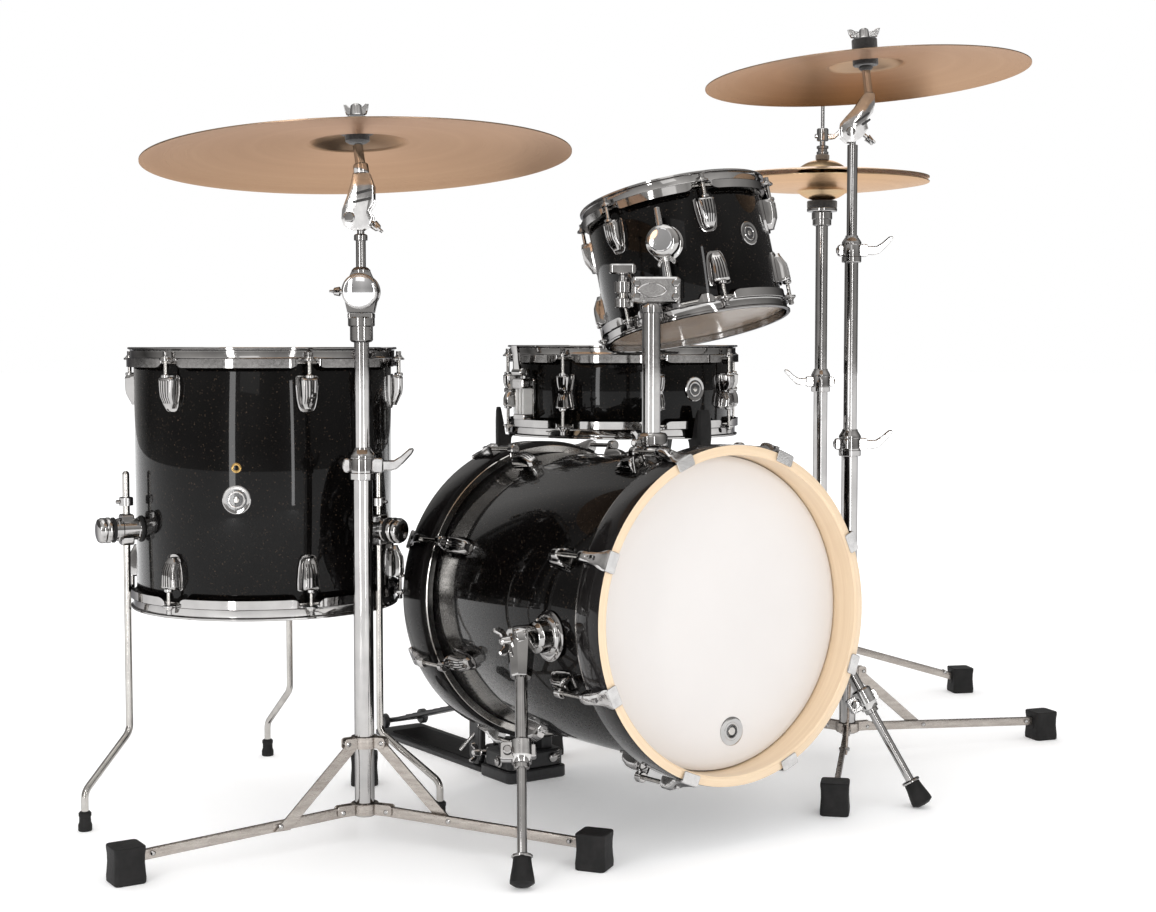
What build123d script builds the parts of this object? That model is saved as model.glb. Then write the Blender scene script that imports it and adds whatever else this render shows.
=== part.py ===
from build123d import *
import math
import os

# Four-piece acoustic drum kit with two cymbal stands, a hi-hat, a snare stand and a bass drum pedal.
# Millimetres, +Z up, the audience side towards -Y. Layout dimensions are measured from the floor point
# under the bass drum's front hoop, and save() moves the finished piece to the middle of the footprint.

os.makedirs("parts", exist_ok=True)

# ---------------------------------------------------------------- layout
MIDDLE = (152.48, 474.55)
AUDIENCE = 235.0          # direction, from +X, that the badges face
EYE = 0.3                 # running clearance between pieces of different bodies
GAP = 0.25                # clearance between loose pieces of one body

# ---------------------------------------------------------------- bass drum
BASS_R = 203.2
BASS_LENGTH = 484.0
BASS_TILT = 1.9
BASS_AXIS_Z = 298.0
WOOD_HOOP_OUT = 220.0
WOOD_HOOP_IN = 206.5
WOOD_HOOP_WIDE = 50.0
BASS_FILM = 40.0          # head's distance from the outer edge of the wood hoop
FLESH_OUT = 214.0
BASS_LUG_ANGLES = [22.5 + 45.0 * k for k in range(8)]

# ---------------------------------------------------------------- drums on stands
TOM_R = 127.0
TOM_DEPTH = 178.0
TOM_CENTRE = Vector(139, 289, 762)
TOM_AXIS = Vector(-0.065, 0.235, 0.97)
FLOOR_R = 177.8
FLOOR_DEPTH = 340.0
FLOOR_CENTRE = Vector(-393, 567, 462)
SNARE_R = 177.8
SNARE_DEPTH = 124.0
SNARE_CENTRE = Vector(253, 595, 573)
SHELL_THICK = 7.0
HOOP_RISE = 10.0          # hoop's edge above the drum head
HOOP_DROP = 8.0           # hoop's flange below the drum head
HOOP_LIP = 9.0            # height of the lip that hangs from the hoop's flange

# ---------------------------------------------------------------- stands
RIDE = (-389.0, 284.0)
CRASH = (470.0, 292.0)
HIHAT = (755.0, 670.0)
SNARE_STAND = (253.0, 595.0)
RIDE_FEET = (318.0, (178.0, 304.0, 62.0))
CRASH_FEET = (360.0, (224.0, 345.5, 104.8))
HIHAT_FEET = (277.0, (-24.0, 96.0, 216.0))
SNARE_FEET = (170.0, (70.0, 190.0, 310.0))
TUBE_R = 12.7
UPPER_R = 9.5
ROD_R = 6.35
HAT_TUBE_R = 10.9
CRASH_TUBE_R = 10.5
CRASH_ROD_R = 8.0
FOOT = (40.0, 40.0, 46.0)

# ---------------------------------------------------------------- tom mount
POST = Vector(0, 185, 0)
POST_TOP = 700.5
ARM_LOW = Vector(31, 176, 702)
ARM_HIGH = Vector(23, 204, 832)
BALL_R = 13.0

# ---------------------------------------------------------------- cymbals
RIDE_R = 272.0
CRASH_R = 248.0
HAT_R = 190.5

# ---------------------------------------------------------------- pedal
PEDAL_X = -20.0
AXLE = Vector(PEDAL_X, 545, 190)
HEEL = Vector(PEDAL_X, 838, 24)


def save(piece, name):
    """Labels a finished piece and writes it, moved to the middle of the footprint."""
    part = piece.part.moved(Location((-MIDDLE[0], -MIDDLE[1], 0)))
    part.label = name
    export_step(part, "parts/" + name + ".step")


def upright(x, y, z=0.0):
    """Horizontal plane at a point."""
    return Plane(origin=(x, y, z), x_dir=(1, 0, 0), z_dir=(0, 0, 1))


def side_plane(drum, angle):
    """Plane through a drum's axis at an angle: x is the radius, y the height along the axis."""
    turn = math.radians(angle)
    outward = drum.x_dir * math.cos(turn) + drum.y_dir * math.sin(turn)
    tangent = drum.z_dir.cross(outward)
    return Plane(origin=drum.origin, x_dir=outward, z_dir=-tangent)


def rod(start, end, radius, bore=0.0):
    """Adds a round bar or, with a bore, a tube to the piece being built."""
    start, end = Vector(start), Vector(end)
    run = end - start
    with BuildSketch(Plane(origin=start, z_dir=run)) as face:
        Circle(radius)
        if bore:
            Circle(bore, mode=Mode.SUBTRACT)
    extrude(face.sketch, amount=run.length)


def flat(start, end, wide, thick):
    """Adds a flat bar whose width lies level and whose thickness stands up."""
    start, end = Vector(start), Vector(end)
    run = end - start
    level = Vector(0, 0, 1).cross(run)
    with BuildSketch(Plane(origin=start, x_dir=level, z_dir=run)) as face:
        Rectangle(wide, thick)
    extrude(face.sketch, amount=run.length)


def ring(drum, inner, outer, low, high):
    """Adds a ring about a drum's axis between two heights."""
    with BuildSketch(drum.offset(low)) as face:
        Circle(outer)
        Circle(inner, mode=Mode.SUBTRACT)
    extrude(face.sketch, amount=high - low)


def disc(drum, radius, low, high):
    """Adds a round plate about a drum's axis between two heights."""
    with BuildSketch(drum.offset(low)) as face:
        Circle(radius)
    extrude(face.sketch, amount=high - low)


def profile(drum, angle, points, wide):
    """Adds a block cut to an outline of (radius, height) points, centred on an angle."""
    with BuildSketch(side_plane(drum, angle)) as face:
        with BuildLine():
            Polyline(*points, close=True)
        make_face()
    extrude(face.sketch, amount=wide / 2, both=True)


def wing(centre, axis, reach, size=9.0):
    """Adds a wing screw: a stem along an axis and a flat grip at its end."""
    centre, axis = Vector(centre), Vector(axis).normalized()
    rod(centre, centre + axis * reach, 3.5)
    tip = centre + axis * (reach + GAP)
    with BuildSketch(Plane(origin=tip, z_dir=axis)) as face:
        SlotOverall(size * 3.2, size)
    extrude(face.sketch, amount=size)


BASS = Plane(
    origin=(0, 0, BASS_AXIS_Z),
    x_dir=(-1, 0, 0),
    z_dir=(0, math.cos(math.radians(BASS_TILT)), -math.sin(math.radians(BASS_TILT))),
)
TOM = Plane(origin=TOM_CENTRE, x_dir=(TOM_AXIS.Z, 0, -TOM_AXIS.X), z_dir=TOM_AXIS)
FLOOR = Plane(origin=FLOOR_CENTRE, x_dir=(1, 0, 0), z_dir=(0, 0, 1))
SNARE = Plane(origin=SNARE_CENTRE, x_dir=(1, 0, 0), z_dir=(0, 0, 1))


def bass_angle(from_top):
    """The bass drum's side_plane angle for a direction counted from its top towards -X."""
    return 90.0 - from_top


# ---------------------------------------------------------------- bass drum pieces
def bass_drum():
    shell_low = BASS_FILM + 1.3
    shell_high = BASS_LENGTH - shell_low
    with BuildPart() as shell:
        ring(BASS, BASS_R - SHELL_THICK, BASS_R, shell_low, shell_high)
        with BuildSketch(upright(POST.X, POST.Y, BASS_AXIS_Z + 120)):
            Circle(17)
        extrude(amount=150, mode=Mode.SUBTRACT)
    save(shell, "bass_shell")

    with BuildPart() as front:
        ring(BASS, WOOD_HOOP_IN, WOOD_HOOP_OUT, 0, WOOD_HOOP_WIDE)
    save(front, "bass_front_hoop")

    with BuildPart() as rear:
        ring(BASS, WOOD_HOOP_IN, WOOD_HOOP_OUT, BASS_LENGTH - WOOD_HOOP_WIDE, BASS_LENGTH)
    save(rear, "bass_rear_hoop")

    collar_in = BASS_R + 0.8
    collar_out = collar_in + 1.0
    flesh = WOOD_HOOP_WIDE + GAP
    with BuildPart() as heads:
        for edge, way in ((0, 1), (BASS_LENGTH, -1)):
            bands = (
                (0, collar_out, BASS_FILM, BASS_FILM + 1),
                (collar_in, collar_out, BASS_FILM + 1, flesh),
                (collar_in, FLESH_OUT, flesh, flesh + 9),
            )
            for inner, outer, low, high in bands:
                a, b = sorted((edge + way * low, edge + way * high))
                if inner:
                    ring(BASS, inner, outer, a, b)
                else:
                    disc(BASS, outer, a, b)
    save(heads, "bass_heads")

    bass_hardware()


def bass_hardware():
    """Lugs, claws and tension rods, eight of each at both ends of the bass drum."""
    base = BASS_R + GAP
    rod_r = WOOD_HOOP_OUT + 9
    lug_start = 92.0
    lug_end = 140.0
    with BuildPart() as lugs:
        for edge, way in ((0, 1), (BASS_LENGTH, -1)):
            outline = [
                (base, edge + way * lug_start),
                (rod_r + 8, edge + way * lug_start),
                (rod_r + 8, edge + way * (lug_start + 14)),
                (base + 18, edge + way * (lug_end - 10)),
                (base + 6, edge + way * lug_end),
                (base, edge + way * lug_end),
            ]
            for angle in BASS_LUG_ANGLES:
                profile(BASS, bass_angle(angle), outline, 24)
    save(lugs, "bass_lugs")

    hook = 3.0
    over = WOOD_HOOP_OUT + GAP
    with BuildPart() as claws:
        for edge, way in ((0, 1), (BASS_LENGTH, -1)):
            outline = [
                (WOOD_HOOP_OUT - 11, edge - way * (hook + GAP)),
                (over + hook, edge - way * (hook + GAP)),
                (over + hook + 1, edge + way * 8),
                (rod_r + 7, edge + way * 30),
                (rod_r + 7, edge + way * 48),
                (over, edge + way * 48),
                (over, edge - way * GAP),
                (WOOD_HOOP_OUT - 11, edge - way * GAP),
            ]
            for angle in BASS_LUG_ANGLES:
                profile(BASS, bass_angle(angle), outline, 26)
    save(claws, "bass_claws")

    with BuildPart() as rods:
        for edge, way in ((0, 1), (BASS_LENGTH, -1)):
            for angle in BASS_LUG_ANGLES:
                side = side_plane(BASS, bass_angle(angle))
                start = side.from_local_coords((rod_r, edge + way * (48 + GAP), 0))
                end = side.from_local_coords((rod_r, edge + way * (lug_start - GAP), 0))
                rod(start, end, 3.0)
    save(rods, "bass_tension_rods")


# ---------------------------------------------------------------- bass drum fittings
SPUR_SIDES = (("left", -1), ("right", 1))
SPUR_Y = 129.0
SPUR_X = 248.0
SPUR_FOOT = Vector(336, -8, 0)
SPUR_TUBE = 158.0


def spur_line(side):
    """Pivot, direction and foot of one bass drum spur."""
    pivot = Vector(side * SPUR_X, SPUR_Y, BASS_AXIS_Z - 24)
    foot = Vector(side * SPUR_FOOT.X, SPUR_FOOT.Y, 0)
    return pivot, (foot - pivot).normalized(), foot


def bass_fittings():
    shell_top = BASS_AXIS_Z + BASS_R - POST.Y * math.tan(math.radians(BASS_TILT))
    with BuildPart() as brackets:
        for _, side in SPUR_SIDES:
            pivot, _, _ = spur_line(side)
            out = Vector(side, 0, 0)
            plate = Vector(side * (BASS_R + 1.5), pivot.Y, pivot.Z)
            rod(plate, plate + out * 7, 30)
            rod(plate + out * (7 + GAP), pivot - out * 15, 17)
        rod((POST.X, POST.Y, shell_top - 24), (POST.X, POST.Y, shell_top + 30), 16, TUBE_R + 0.06)
        rod((POST.X, POST.Y, shell_top + 1.5), (POST.X, POST.Y, shell_top + 7), 34, 16 + GAP)
        rod((POST.X, POST.Y, shell_top + 18), (POST.X, POST.Y, shell_top + 32), 21, 16 + GAP)
        wing((POST.X - 22, POST.Y - 8, shell_top + 25), (-1, -0.4, 0), 12)
    save(brackets, "bass_shell_brackets")

    for name, side in SPUR_SIDES:
        pivot, way, foot = spur_line(side)
        out = Vector(side, 0, 0)
        with BuildPart() as tube:
            rod(pivot - out * (15 - EYE), pivot + out * 13, 17)
            rod(pivot + way * 19, pivot + way * SPUR_TUBE, 8, 6.06)
            rod(pivot + way * (SPUR_TUBE - 16), pivot + way * (SPUR_TUBE + 6), 11.5, 8 + GAP)
            wing(pivot + out * (13 + GAP), out, 10, 8)
        save(tube, "spur_" + name + "_tube")
        with BuildPart() as leg:
            rod(pivot + way * 85, foot - way * 30, 6)
            rod(foot - way * 43, foot - way * 39, 13)
            for near, far, near_r, far_r in ((40, 9, 10.5, 15), (9, 5.4, 15, 9)):
                with BuildSketch(Plane(origin=foot - way * near, z_dir=way)):
                    Circle(near_r)
                with BuildSketch(Plane(origin=foot - way * far, z_dir=way)):
                    Circle(far_r)
                loft()
        save(leg, "spur_" + name + "_leg")

    hoop_low = BASS_AXIS_Z - (BASS_LENGTH - 25) * math.sin(math.radians(BASS_TILT)) - WOOD_HOOP_OUT
    with BuildPart() as riser:
        with BuildSketch(Plane.XY):
            with Locations((PEDAL_X, 474)):
                RectangleRounded(104, 84, 10)
        extrude(amount=18)
        with BuildSketch(Plane.XY.offset(18 + GAP)):
            with Locations((PEDAL_X - 28, 468), (PEDAL_X + 28, 468)):
                Rectangle(20, 36)
        extrude(amount=hoop_low - 20 - GAP)
    save(riser, "bass_riser")


# ---------------------------------------------------------------- pedal
POST_HALF = 36.0
ROD_LONG = 168.0
REST_LEAN = 20.0


def pedal():
    with BuildPart() as frame:
        with BuildSketch(Plane.XY):
            with Locations((PEDAL_X, 690)):
                RectangleRounded(88, 340, 8)
        extrude(amount=8)
        for side in (-1, 1):
            x = PEDAL_X + side * POST_HALF
            with BuildSketch(upright(x, AXLE.Y, 8 + GAP)):
                Rectangle(12, 24)
            extrude(amount=AXLE.Z + 14 - 8 - GAP)
            with BuildSketch(Plane(origin=(x - 8, AXLE.Y, AXLE.Z), x_dir=(0, 1, 0), z_dir=(1, 0, 0))):
                Circle(5.05)
            extrude(amount=16, mode=Mode.SUBTRACT)
        for side in (-1, 1):
            x = PEDAL_X + side * 36
            rod((x - 5, HEEL.Y, HEEL.Z), (x + 5, HEEL.Y, HEEL.Z), 12, 4.05)
    save(frame, "pedal_frame")

    toe = Vector(PEDAL_X, 588, 92)
    with BuildPart() as board:
        way = (toe - HEEL).normalized()
        rod((PEDAL_X - 40, HEEL.Y, HEEL.Z), (PEDAL_X + 40, HEEL.Y, HEEL.Z), 4)
        flat(HEEL + way * 4, toe, 56, 6)
        flat(toe + way * GAP, toe + way * 22, 44, 5)
    save(board, "pedal_footboard")

    lean = math.radians(REST_LEAN)
    stem = Vector(0, math.sin(lean), math.cos(lean))
    head = AXLE + stem * ROD_LONG
    normal = Vector(0, math.cos(lean), -math.sin(lean))
    with BuildPart() as beater:
        rod(AXLE - Vector(50, 0, 0), AXLE + Vector(50, 0, 0), 5)
        rod(AXLE - Vector(12, 0, 0), AXLE + Vector(12, 0, 0), 22, 5 + GAP)
        rod(AXLE + stem * 23, head + stem * 14, 3.2)
        rod(head - normal * 20, head + normal * 16, 22, 3.4 + GAP)
    save(beater, "pedal_beater")


# ---------------------------------------------------------------- drums with flanged hoops
def lug_outline(base, low, high):
    """Side outline of a teardrop lug whose thick end is at the first height."""
    step = high - low
    return [
        (base, low),
        (base + 15, low),
        (base + 19, low + step * 0.12),
        (base + 19, low + step * 0.5),
        (base + 11, low + step * 0.9),
        (base, high),
    ]


def drum(name, plane, radius, depth, lug_angles, lugs=True, lips=(-1, 1)):
    """Shell, two flanged hoops, two heads, lugs and tension rods of one drum."""
    half = depth / 2
    with BuildPart() as shell:
        ring(plane, radius - SHELL_THICK, radius, -half, half)
    save(shell, name + "_shell")

    with BuildPart() as heads:
        for way in (-1, 1):
            film = way * (half + GAP)
            disc(plane, radius + 1.6, *sorted((film, film + way)))
            ring(plane, radius + 0.6, radius + 1.6, *sorted((film, film - way * 9)))
            ring(plane, radius + 0.6, radius + 6, *sorted((film - way * 9, film - way * 12)))
    save(heads, name + "_heads")

    wall = radius + 2.4
    with BuildPart() as hoops:
        for way in (-1, 1):
            top = way * (half + HOOP_RISE)
            seat = way * (half - HOOP_DROP)
            if way in lips:
                lip = way * (half - HOOP_DROP - HOOP_LIP)
                ring(plane, radius + 7.1, radius + 9.5, *sorted((lip, seat)))
            ring(plane, wall, wall + 2.4, *sorted((seat, top)))
            ring(plane, wall, radius + 9.5, *sorted((seat, seat + way * 2.4)))
            ring(plane, wall, radius + 8, *sorted((top, top - way * 2.4)))
            for angle in lug_angles:
                spot = side_plane(plane, angle).from_local_coords((radius + 12.5, seat + way * 3, 0))
                with BuildSketch(Plane(origin=spot, x_dir=plane.x_dir, z_dir=plane.z_dir * way)):
                    Circle(8)
                extrude(amount=2.4)
            ring(plane, radius + 1.7, wall, *sorted((seat, seat + way * 2.4)))
    save(hoops, name + "_hoops")

    base = radius + GAP
    first, last = (30.0, 72.0) if lugs else (36.0, 0.0)
    with BuildPart() as lug_group:
        for angle in lug_angles:
            if lugs:
                for way in (-1, 1):
                    near, far = way * (half - first), way * (half - last)
                    profile(plane, angle, lug_outline(base, near, far), 24)
            else:
                low = half - first
                waist = [(base, -low), (base + 20, -low), (base + 20, -low * 0.45), (base + 13, 0)]
                top = [(base + 20, low * 0.45), (base + 20, low), (base, low)]
                profile(plane, angle, waist + top, 23)
    save(lug_group, name + "_lugs")

    with BuildPart() as rods:
        for angle in lug_angles:
            side = side_plane(plane, angle)
            for way in (-1, 1):
                inner = way * (half - first + GAP)
                outer = way * (half - 8 + 3 - GAP)
                cap = way * (half - 8 + 3 + 2.4 + GAP)
                at = radius + 12.5
                start = side.from_local_coords((at, inner, 0))
                rod(start, side.from_local_coords((at, outer, 0)), 2.6)
                head = side.from_local_coords((at, cap, 0))
                rod(head, side.from_local_coords((at, cap + way * 9, 0)), 3.6)
    save(rods, name + "_rods")


# ---------------------------------------------------------------- rack tom mount
CLAMP_RISE = 36.0
CLAMP_ACROSS = Vector(0.82, -0.572, 0)
CLAMP_DEPTH = Vector(0.572, 0.82, 0)


def arm_way():
    """Direction of the rack tom's arm, upwards."""
    return (ARM_HIGH - ARM_LOW).normalized()


def ball_spot():
    """Centre of the ball on the rack tom's arm."""
    return ARM_LOW + arm_way() * 86


def tom_mount():
    with BuildPart() as post:
        rod((POST.X, POST.Y, 300), (POST.X, POST.Y, POST_TOP), TUBE_R, TUBE_R - 2)
        middle = POST + CLAMP_ACROSS * 6 + CLAMP_DEPTH * 5
        with BuildSketch(Plane(origin=middle + Vector(0, 0, POST_TOP + GAP), x_dir=CLAMP_ACROSS)):
            RectangleRounded(68, 38, 6)
        extrude(amount=CLAMP_RISE)
        with BuildSketch(Plane(origin=ARM_LOW - arm_way() * 30, z_dir=arm_way())):
            Circle(4.75 + EYE)
        extrude(amount=90, mode=Mode.SUBTRACT)
        screw = POST - CLAMP_ACROSS * 39
        for low, high, radius in ((695, 708, 10), (715, 731, 10), (731 + GAP, 740, 4)):
            rod(screw + Vector(0, 0, low), screw + Vector(0, 0, high), radius)
        with BuildSketch(Plane(origin=screw + Vector(0, 0, 740 + GAP), x_dir=CLAMP_ACROSS)):
            SlotOverall(38, 15)
        extrude(amount=14)
    save(post, "tom_post")

    with BuildPart() as arm:
        rod(ARM_LOW, ARM_HIGH, 4.75)
        with Locations(ball_spot()):
            Sphere(BALL_R)
    save(arm, "tom_arm")

    ball = ball_spot()
    inward = TOM_CENTRE - ball
    inward = (inward - TOM.z_dir * inward.dot(TOM.z_dir)).normalized()
    reach = (TOM_CENTRE - ball).dot(inward)
    seat = ball + inward * (reach - TOM_R - GAP)
    with BuildPart() as bracket:
        rod(seat, seat - inward * 5, 23)
        rod(seat - inward * 5, ball + inward * 9.5, 17)
        tangent = TOM.z_dir.cross(inward)
        for side in (-1, 1):
            cheek = ball + tangent * (side * (BALL_R + 1.2))
            with BuildSketch(Plane(origin=cheek, x_dir=inward, z_dir=tangent * side)) as face:
                Circle(7)
                with Locations((7, 0)):
                    Rectangle(14, 14)
            extrude(face.sketch, amount=5)
        with Locations(ball):
            Sphere(BALL_R + EYE, mode=Mode.SUBTRACT)
    save(bracket, "tom_bracket")


# ---------------------------------------------------------------- floor tom legs
LEG_R = 4.75
LEG_OFF = FLOOR_R + 20
LEG_CLAMP_Z = 395.0
LEGS = (("left", 175.0, 30.0), ("right", 295.0, 17.0), ("rear", 55.0, 34.0))


def polar(centre, angle, reach, z=0.0):
    """Point at an angle and distance from a vertical axis."""
    turn = math.radians(angle)
    return Vector(centre[0] + reach * math.cos(turn), centre[1] + reach * math.sin(turn), z)


def floor_tom_legs():
    centre = (FLOOR_CENTRE.X, FLOOR_CENTRE.Y)
    with BuildPart() as brackets:
        for _, angle, _ in LEGS:
            rod(
                polar(centre, angle, FLOOR_R + GAP, LEG_CLAMP_Z),
                polar(centre, angle, LEG_OFF + 22, LEG_CLAMP_Z),
                15,
            )
            rod(
                polar(centre, angle, LEG_OFF + 22 + GAP, LEG_CLAMP_Z),
                polar(centre, angle, LEG_OFF + 40, LEG_CLAMP_Z),
                17,
            )
        for _, angle, _ in LEGS:
            with BuildSketch(Plane(origin=polar(centre, angle, LEG_OFF, LEG_CLAMP_Z - 20))):
                Circle(LEG_R + 0.08)
            extrude(amount=40, mode=Mode.SUBTRACT)
    save(brackets, "floor_tom_leg_brackets")

    for name, angle, twist in LEGS:
        top = polar(centre, angle, LEG_OFF, 470)
        step = polar((0, 0), angle + twist, 85)
        tip = 26.0
        with BuildPart() as leg:
            with BuildLine() as route:
                FilletPolyline(
                    top,
                    Vector(top.X, top.Y, 118),
                    Vector(top.X + step.X, top.Y + step.Y, 52),
                    Vector(top.X + step.X, top.Y + step.Y, tip + GAP),
                    radius=20,
                )
            with BuildSketch(Plane(origin=top, z_dir=(0, 0, -1))):
                Circle(LEG_R)
            sweep(path=route.wire())
            with BuildSketch(upright(top.X + step.X, top.Y + step.Y)):
                Circle(9)
            with BuildSketch(upright(top.X + step.X, top.Y + step.Y, tip)):
                Circle(7)
            loft()
        save(leg, "floor_tom_leg_" + name)


# ---------------------------------------------------------------- snare parts
STRAINER_ANGLE = 180.0
BUTT_ANGLE = 2.5
LEVER_R = SNARE_R + 23
LEVER_Z = 30.0


def snare_parts():
    base = SNARE_R + GAP
    with BuildPart() as strainer:
        profile(
            SNARE,
            STRAINER_ANGLE,
            [(base, -44), (base + 24, -44), (base + 28, -30), (base + 28, 14), (base, 22)],
            28,
        )
        profile(SNARE, BUTT_ANGLE, [(base, -44), (base + 16, -44), (base + 16, -18), (base, -10)], 34)
    save(strainer, "snare_strainer")

    side = side_plane(SNARE, STRAINER_ANGLE)
    with BuildPart() as lever:
        pivot = side.from_local_coords((LEVER_R, LEVER_Z, 0))
        rod(pivot - side.z_dir * 13, pivot + side.z_dir * 13, 6)
        rise = [(LEVER_R - 1, LEVER_Z + 4), (LEVER_R + 5, LEVER_Z + 2)]
        grip = [(LEVER_R + 9, LEVER_Z + 40), (LEVER_R + 3, LEVER_Z + 42)]
        profile(SNARE, STRAINER_ANGLE, rise + grip, 20)
    save(lever, "snare_strainer_lever")

    film = SNARE_DEPTH / 2 + GAP + 1
    with BuildPart() as wires:
        with BuildSketch(SNARE.offset(-film - 2.6)):
            Rectangle(300, 62)
        extrude(amount=2)
    save(wires, "snare_wires")


# ---------------------------------------------------------------- stand building blocks
def tripod(spot, feet, hub_z, brace_z=0.0):
    """Adds a flat-base tripod: hub, three legs with rubber feet and, with a collar height, braces."""
    reach, angles = feet
    hub_r = 18.0
    brace_r = 17.0
    clear = 4.0
    band = 7.25
    rod((spot[0], spot[1], hub_z - band), (spot[0], spot[1], hub_z + band), hub_r, TUBE_R + GAP)
    if brace_z:
        rod((spot[0], spot[1], brace_z - band), (spot[0], spot[1], brace_z + band), brace_r, TUBE_R + GAP)
    toe_z = 30.0
    joint = 0.36
    for angle in angles:
        inner = polar(spot, angle, hub_r + clear, hub_z)
        outer = polar(spot, angle, reach - FOOT[0] / 2 - clear, toe_z)
        flat(inner, outer, 7, 13)
        way = polar((0, 0), angle, 1)
        with BuildSketch(Plane(origin=polar(spot, angle, reach), x_dir=way, z_dir=(0, 0, 1))) as face:
            RectangleRounded(FOOT[0], FOOT[1], 7)
        extrude(face.sketch, amount=FOOT[2])
        if brace_z:
            low_z = hub_z + (toe_z - hub_z) * joint + 18
            high = polar(spot, angle, brace_r + clear / 2, brace_z)
            flat(high, polar(spot, angle, reach * joint, low_z), 4, 15)


def collar(spot, top, tube, inner, wing_way=None):
    """Adds a height collar on a tube's top end that guides the inner tube."""
    x, y = spot
    outer = tube + 4.5
    rod((x, y, top - 28), (x, y, top - GAP), outer, tube + GAP)
    rod((x, y, top), (x, y, top + 14), outer, inner + 0.06)
    if wing_way:
        way = Vector(wing_way).normalized()
        wing(Vector(x, y, top - 8) + way * (outer + GAP), way, 13)


def knuckle_fork(pivot, axis, radius, foot_z):
    """Adds two cheeks and a pin, standing on a block at a height."""
    axis = Vector(axis).normalized()
    for side in (-1, 1):
        outward = axis * side
        level = Vector(0, 0, 1).cross(outward)
        drop = pivot.Z - foot_z
        with BuildSketch(Plane(origin=pivot + outward * 7, x_dir=level, z_dir=outward)) as face:
            Circle(radius)
            with Locations((0, -drop / 2)):
                Rectangle(radius * 1.5, drop)
        extrude(face.sketch, amount=5)
    rod(pivot - axis * 15, pivot + axis * 15, 4)
    with BuildSketch(Plane(origin=(pivot.X, pivot.Y, foot_z - 6), x_dir=axis, z_dir=(0, 0, 1))) as face:
        Rectangle(24, radius * 1.5)
    extrude(face.sketch, amount=6)


def knuckle_tongue(pivot, axis, radius, end):
    """Adds the tongue that turns on a fork's pin, with a neck to an end point."""
    axis = Vector(axis).normalized()
    run = Vector(end) - pivot
    with BuildSketch(Plane(origin=pivot - axis * 6.5, x_dir=run.normalized(), z_dir=axis)) as face:
        Circle(radius)
        with Locations((run.length / 2, 0)):
            Rectangle(run.length, radius * 1.2)
    extrude(face.sketch, amount=13)
    with BuildSketch(Plane(origin=pivot - axis * 8, z_dir=axis)) as face:
        Circle(4.07)
    extrude(face.sketch, amount=16, mode=Mode.SUBTRACT)


def cymbal(name, plane, radius, bell_r, bow, bell, hole, way=1):
    """A cymbal whose rim lies in a plane, domed along it by its bow and its bell."""
    thick = 1.5
    middle = (bell_r + radius) / 2
    line = (
        (hole, bow + bell),
        (bell_r * 0.62, bow + bell * 0.72),
        (bell_r, bow),
        (middle, bow * 0.68),
        (radius, 0),
    )
    top = [(x, way * y) for x, y in line]
    low = [(x, way * y - thick) for x, y in line]
    with BuildPart() as piece:
        with BuildSketch(side_plane(plane, 0)):
            with BuildLine():
                ThreePointArc(top[0], top[1], top[2])
                ThreePointArc(top[2], top[3], top[4])
                Line(top[4], low[4])
                ThreePointArc(low[4], low[3], low[2])
                ThreePointArc(low[2], low[1], low[0])
                Line(low[0], top[0])
            make_face()
        revolve(axis=Axis(plane.origin, plane.z_dir))
    save(piece, name)


def cymbal_seat(plane, height, cup, sleeve, felt, nut):
    """Adds what holds a cymbal on its rod: cup and sleeve below, felt and wing nut above.

    The cymbal's bell stands at a height. Cup, sleeve and felt are (radius, height) pairs
    and the nut is its (width, height).
    """
    bore = 4 + GAP
    under = height - 3.7
    ring(plane, bore, cup[0], under - cup[1], under)
    ring(plane, bore, sleeve[0], under - cup[1] - sleeve[1], under - cup[1] - GAP)
    over = height + 0.4
    ring(plane, bore, felt[0], over, over + felt[1])
    ring(plane, bore, 8, over + felt[1] + GAP, over + felt[1] + 4)
    with BuildSketch(plane.offset(over + felt[1] + 4 + GAP)) as face:
        SlotOverall(nut[0], 9)
        Circle(bore, mode=Mode.SUBTRACT)
    extrude(face.sketch, amount=nut[1])


# ---------------------------------------------------------------- snare stand
SNARE_PIVOT = Vector(SNARE_STAND[0], SNARE_STAND[1], 430)
BASKET_ANGLES = (272.0, 152.0, 32.0)


def snare_stand():
    x, y = SNARE_STAND
    with BuildPart() as base:
        tripod(SNARE_STAND, SNARE_FEET, 46, 128)
        rod((x, y, 36), (x, y, 300), TUBE_R, TUBE_R - 1.5)
        collar(SNARE_STAND, 300, TUBE_R, UPPER_R, (1, 0.3, 0))
    save(base, "snare_stand_base")

    with BuildPart() as tube:
        rod((x, y, 190), (x, y, 404), UPPER_R)
        knuckle_fork(SNARE_PIVOT, (1, 0, 0), 12, 410)
    save(tube, "snare_stand_tube")

    bottom = SNARE_CENTRE.Z - SNARE_DEPTH / 2 - HOOP_RISE - 0.4
    with BuildPart() as basket:
        knuckle_tongue(SNARE_PIVOT, (1, 0, 0), 11, (x, y, 448))
        rod((x, y, 448 + GAP), (x, y, 462), 20)
        for angle in BASKET_ANGLES:
            flat(polar(SNARE_STAND, angle, 20 + GAP, 455), polar(SNARE_STAND, angle, 200, 455), 12, 12)
            outline = [(178, bottom), (178, bottom - 11), (206, bottom - 11), (206, bottom + 46)]
            outline += [(199, bottom + 46), (190.5, bottom)]
            lift = [(r, z - SNARE_CENTRE.Z) for r, z in outline]
            profile(SNARE, angle, lift, 24)
            post = [(188, 461 + GAP), (200, 461 + GAP), (200, bottom - 11 - GAP), (188, bottom - 11 - GAP)]
            profile(SNARE, angle, [(r, z - SNARE_CENTRE.Z) for r, z in post], 12)
    save(basket, "snare_basket")


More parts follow.
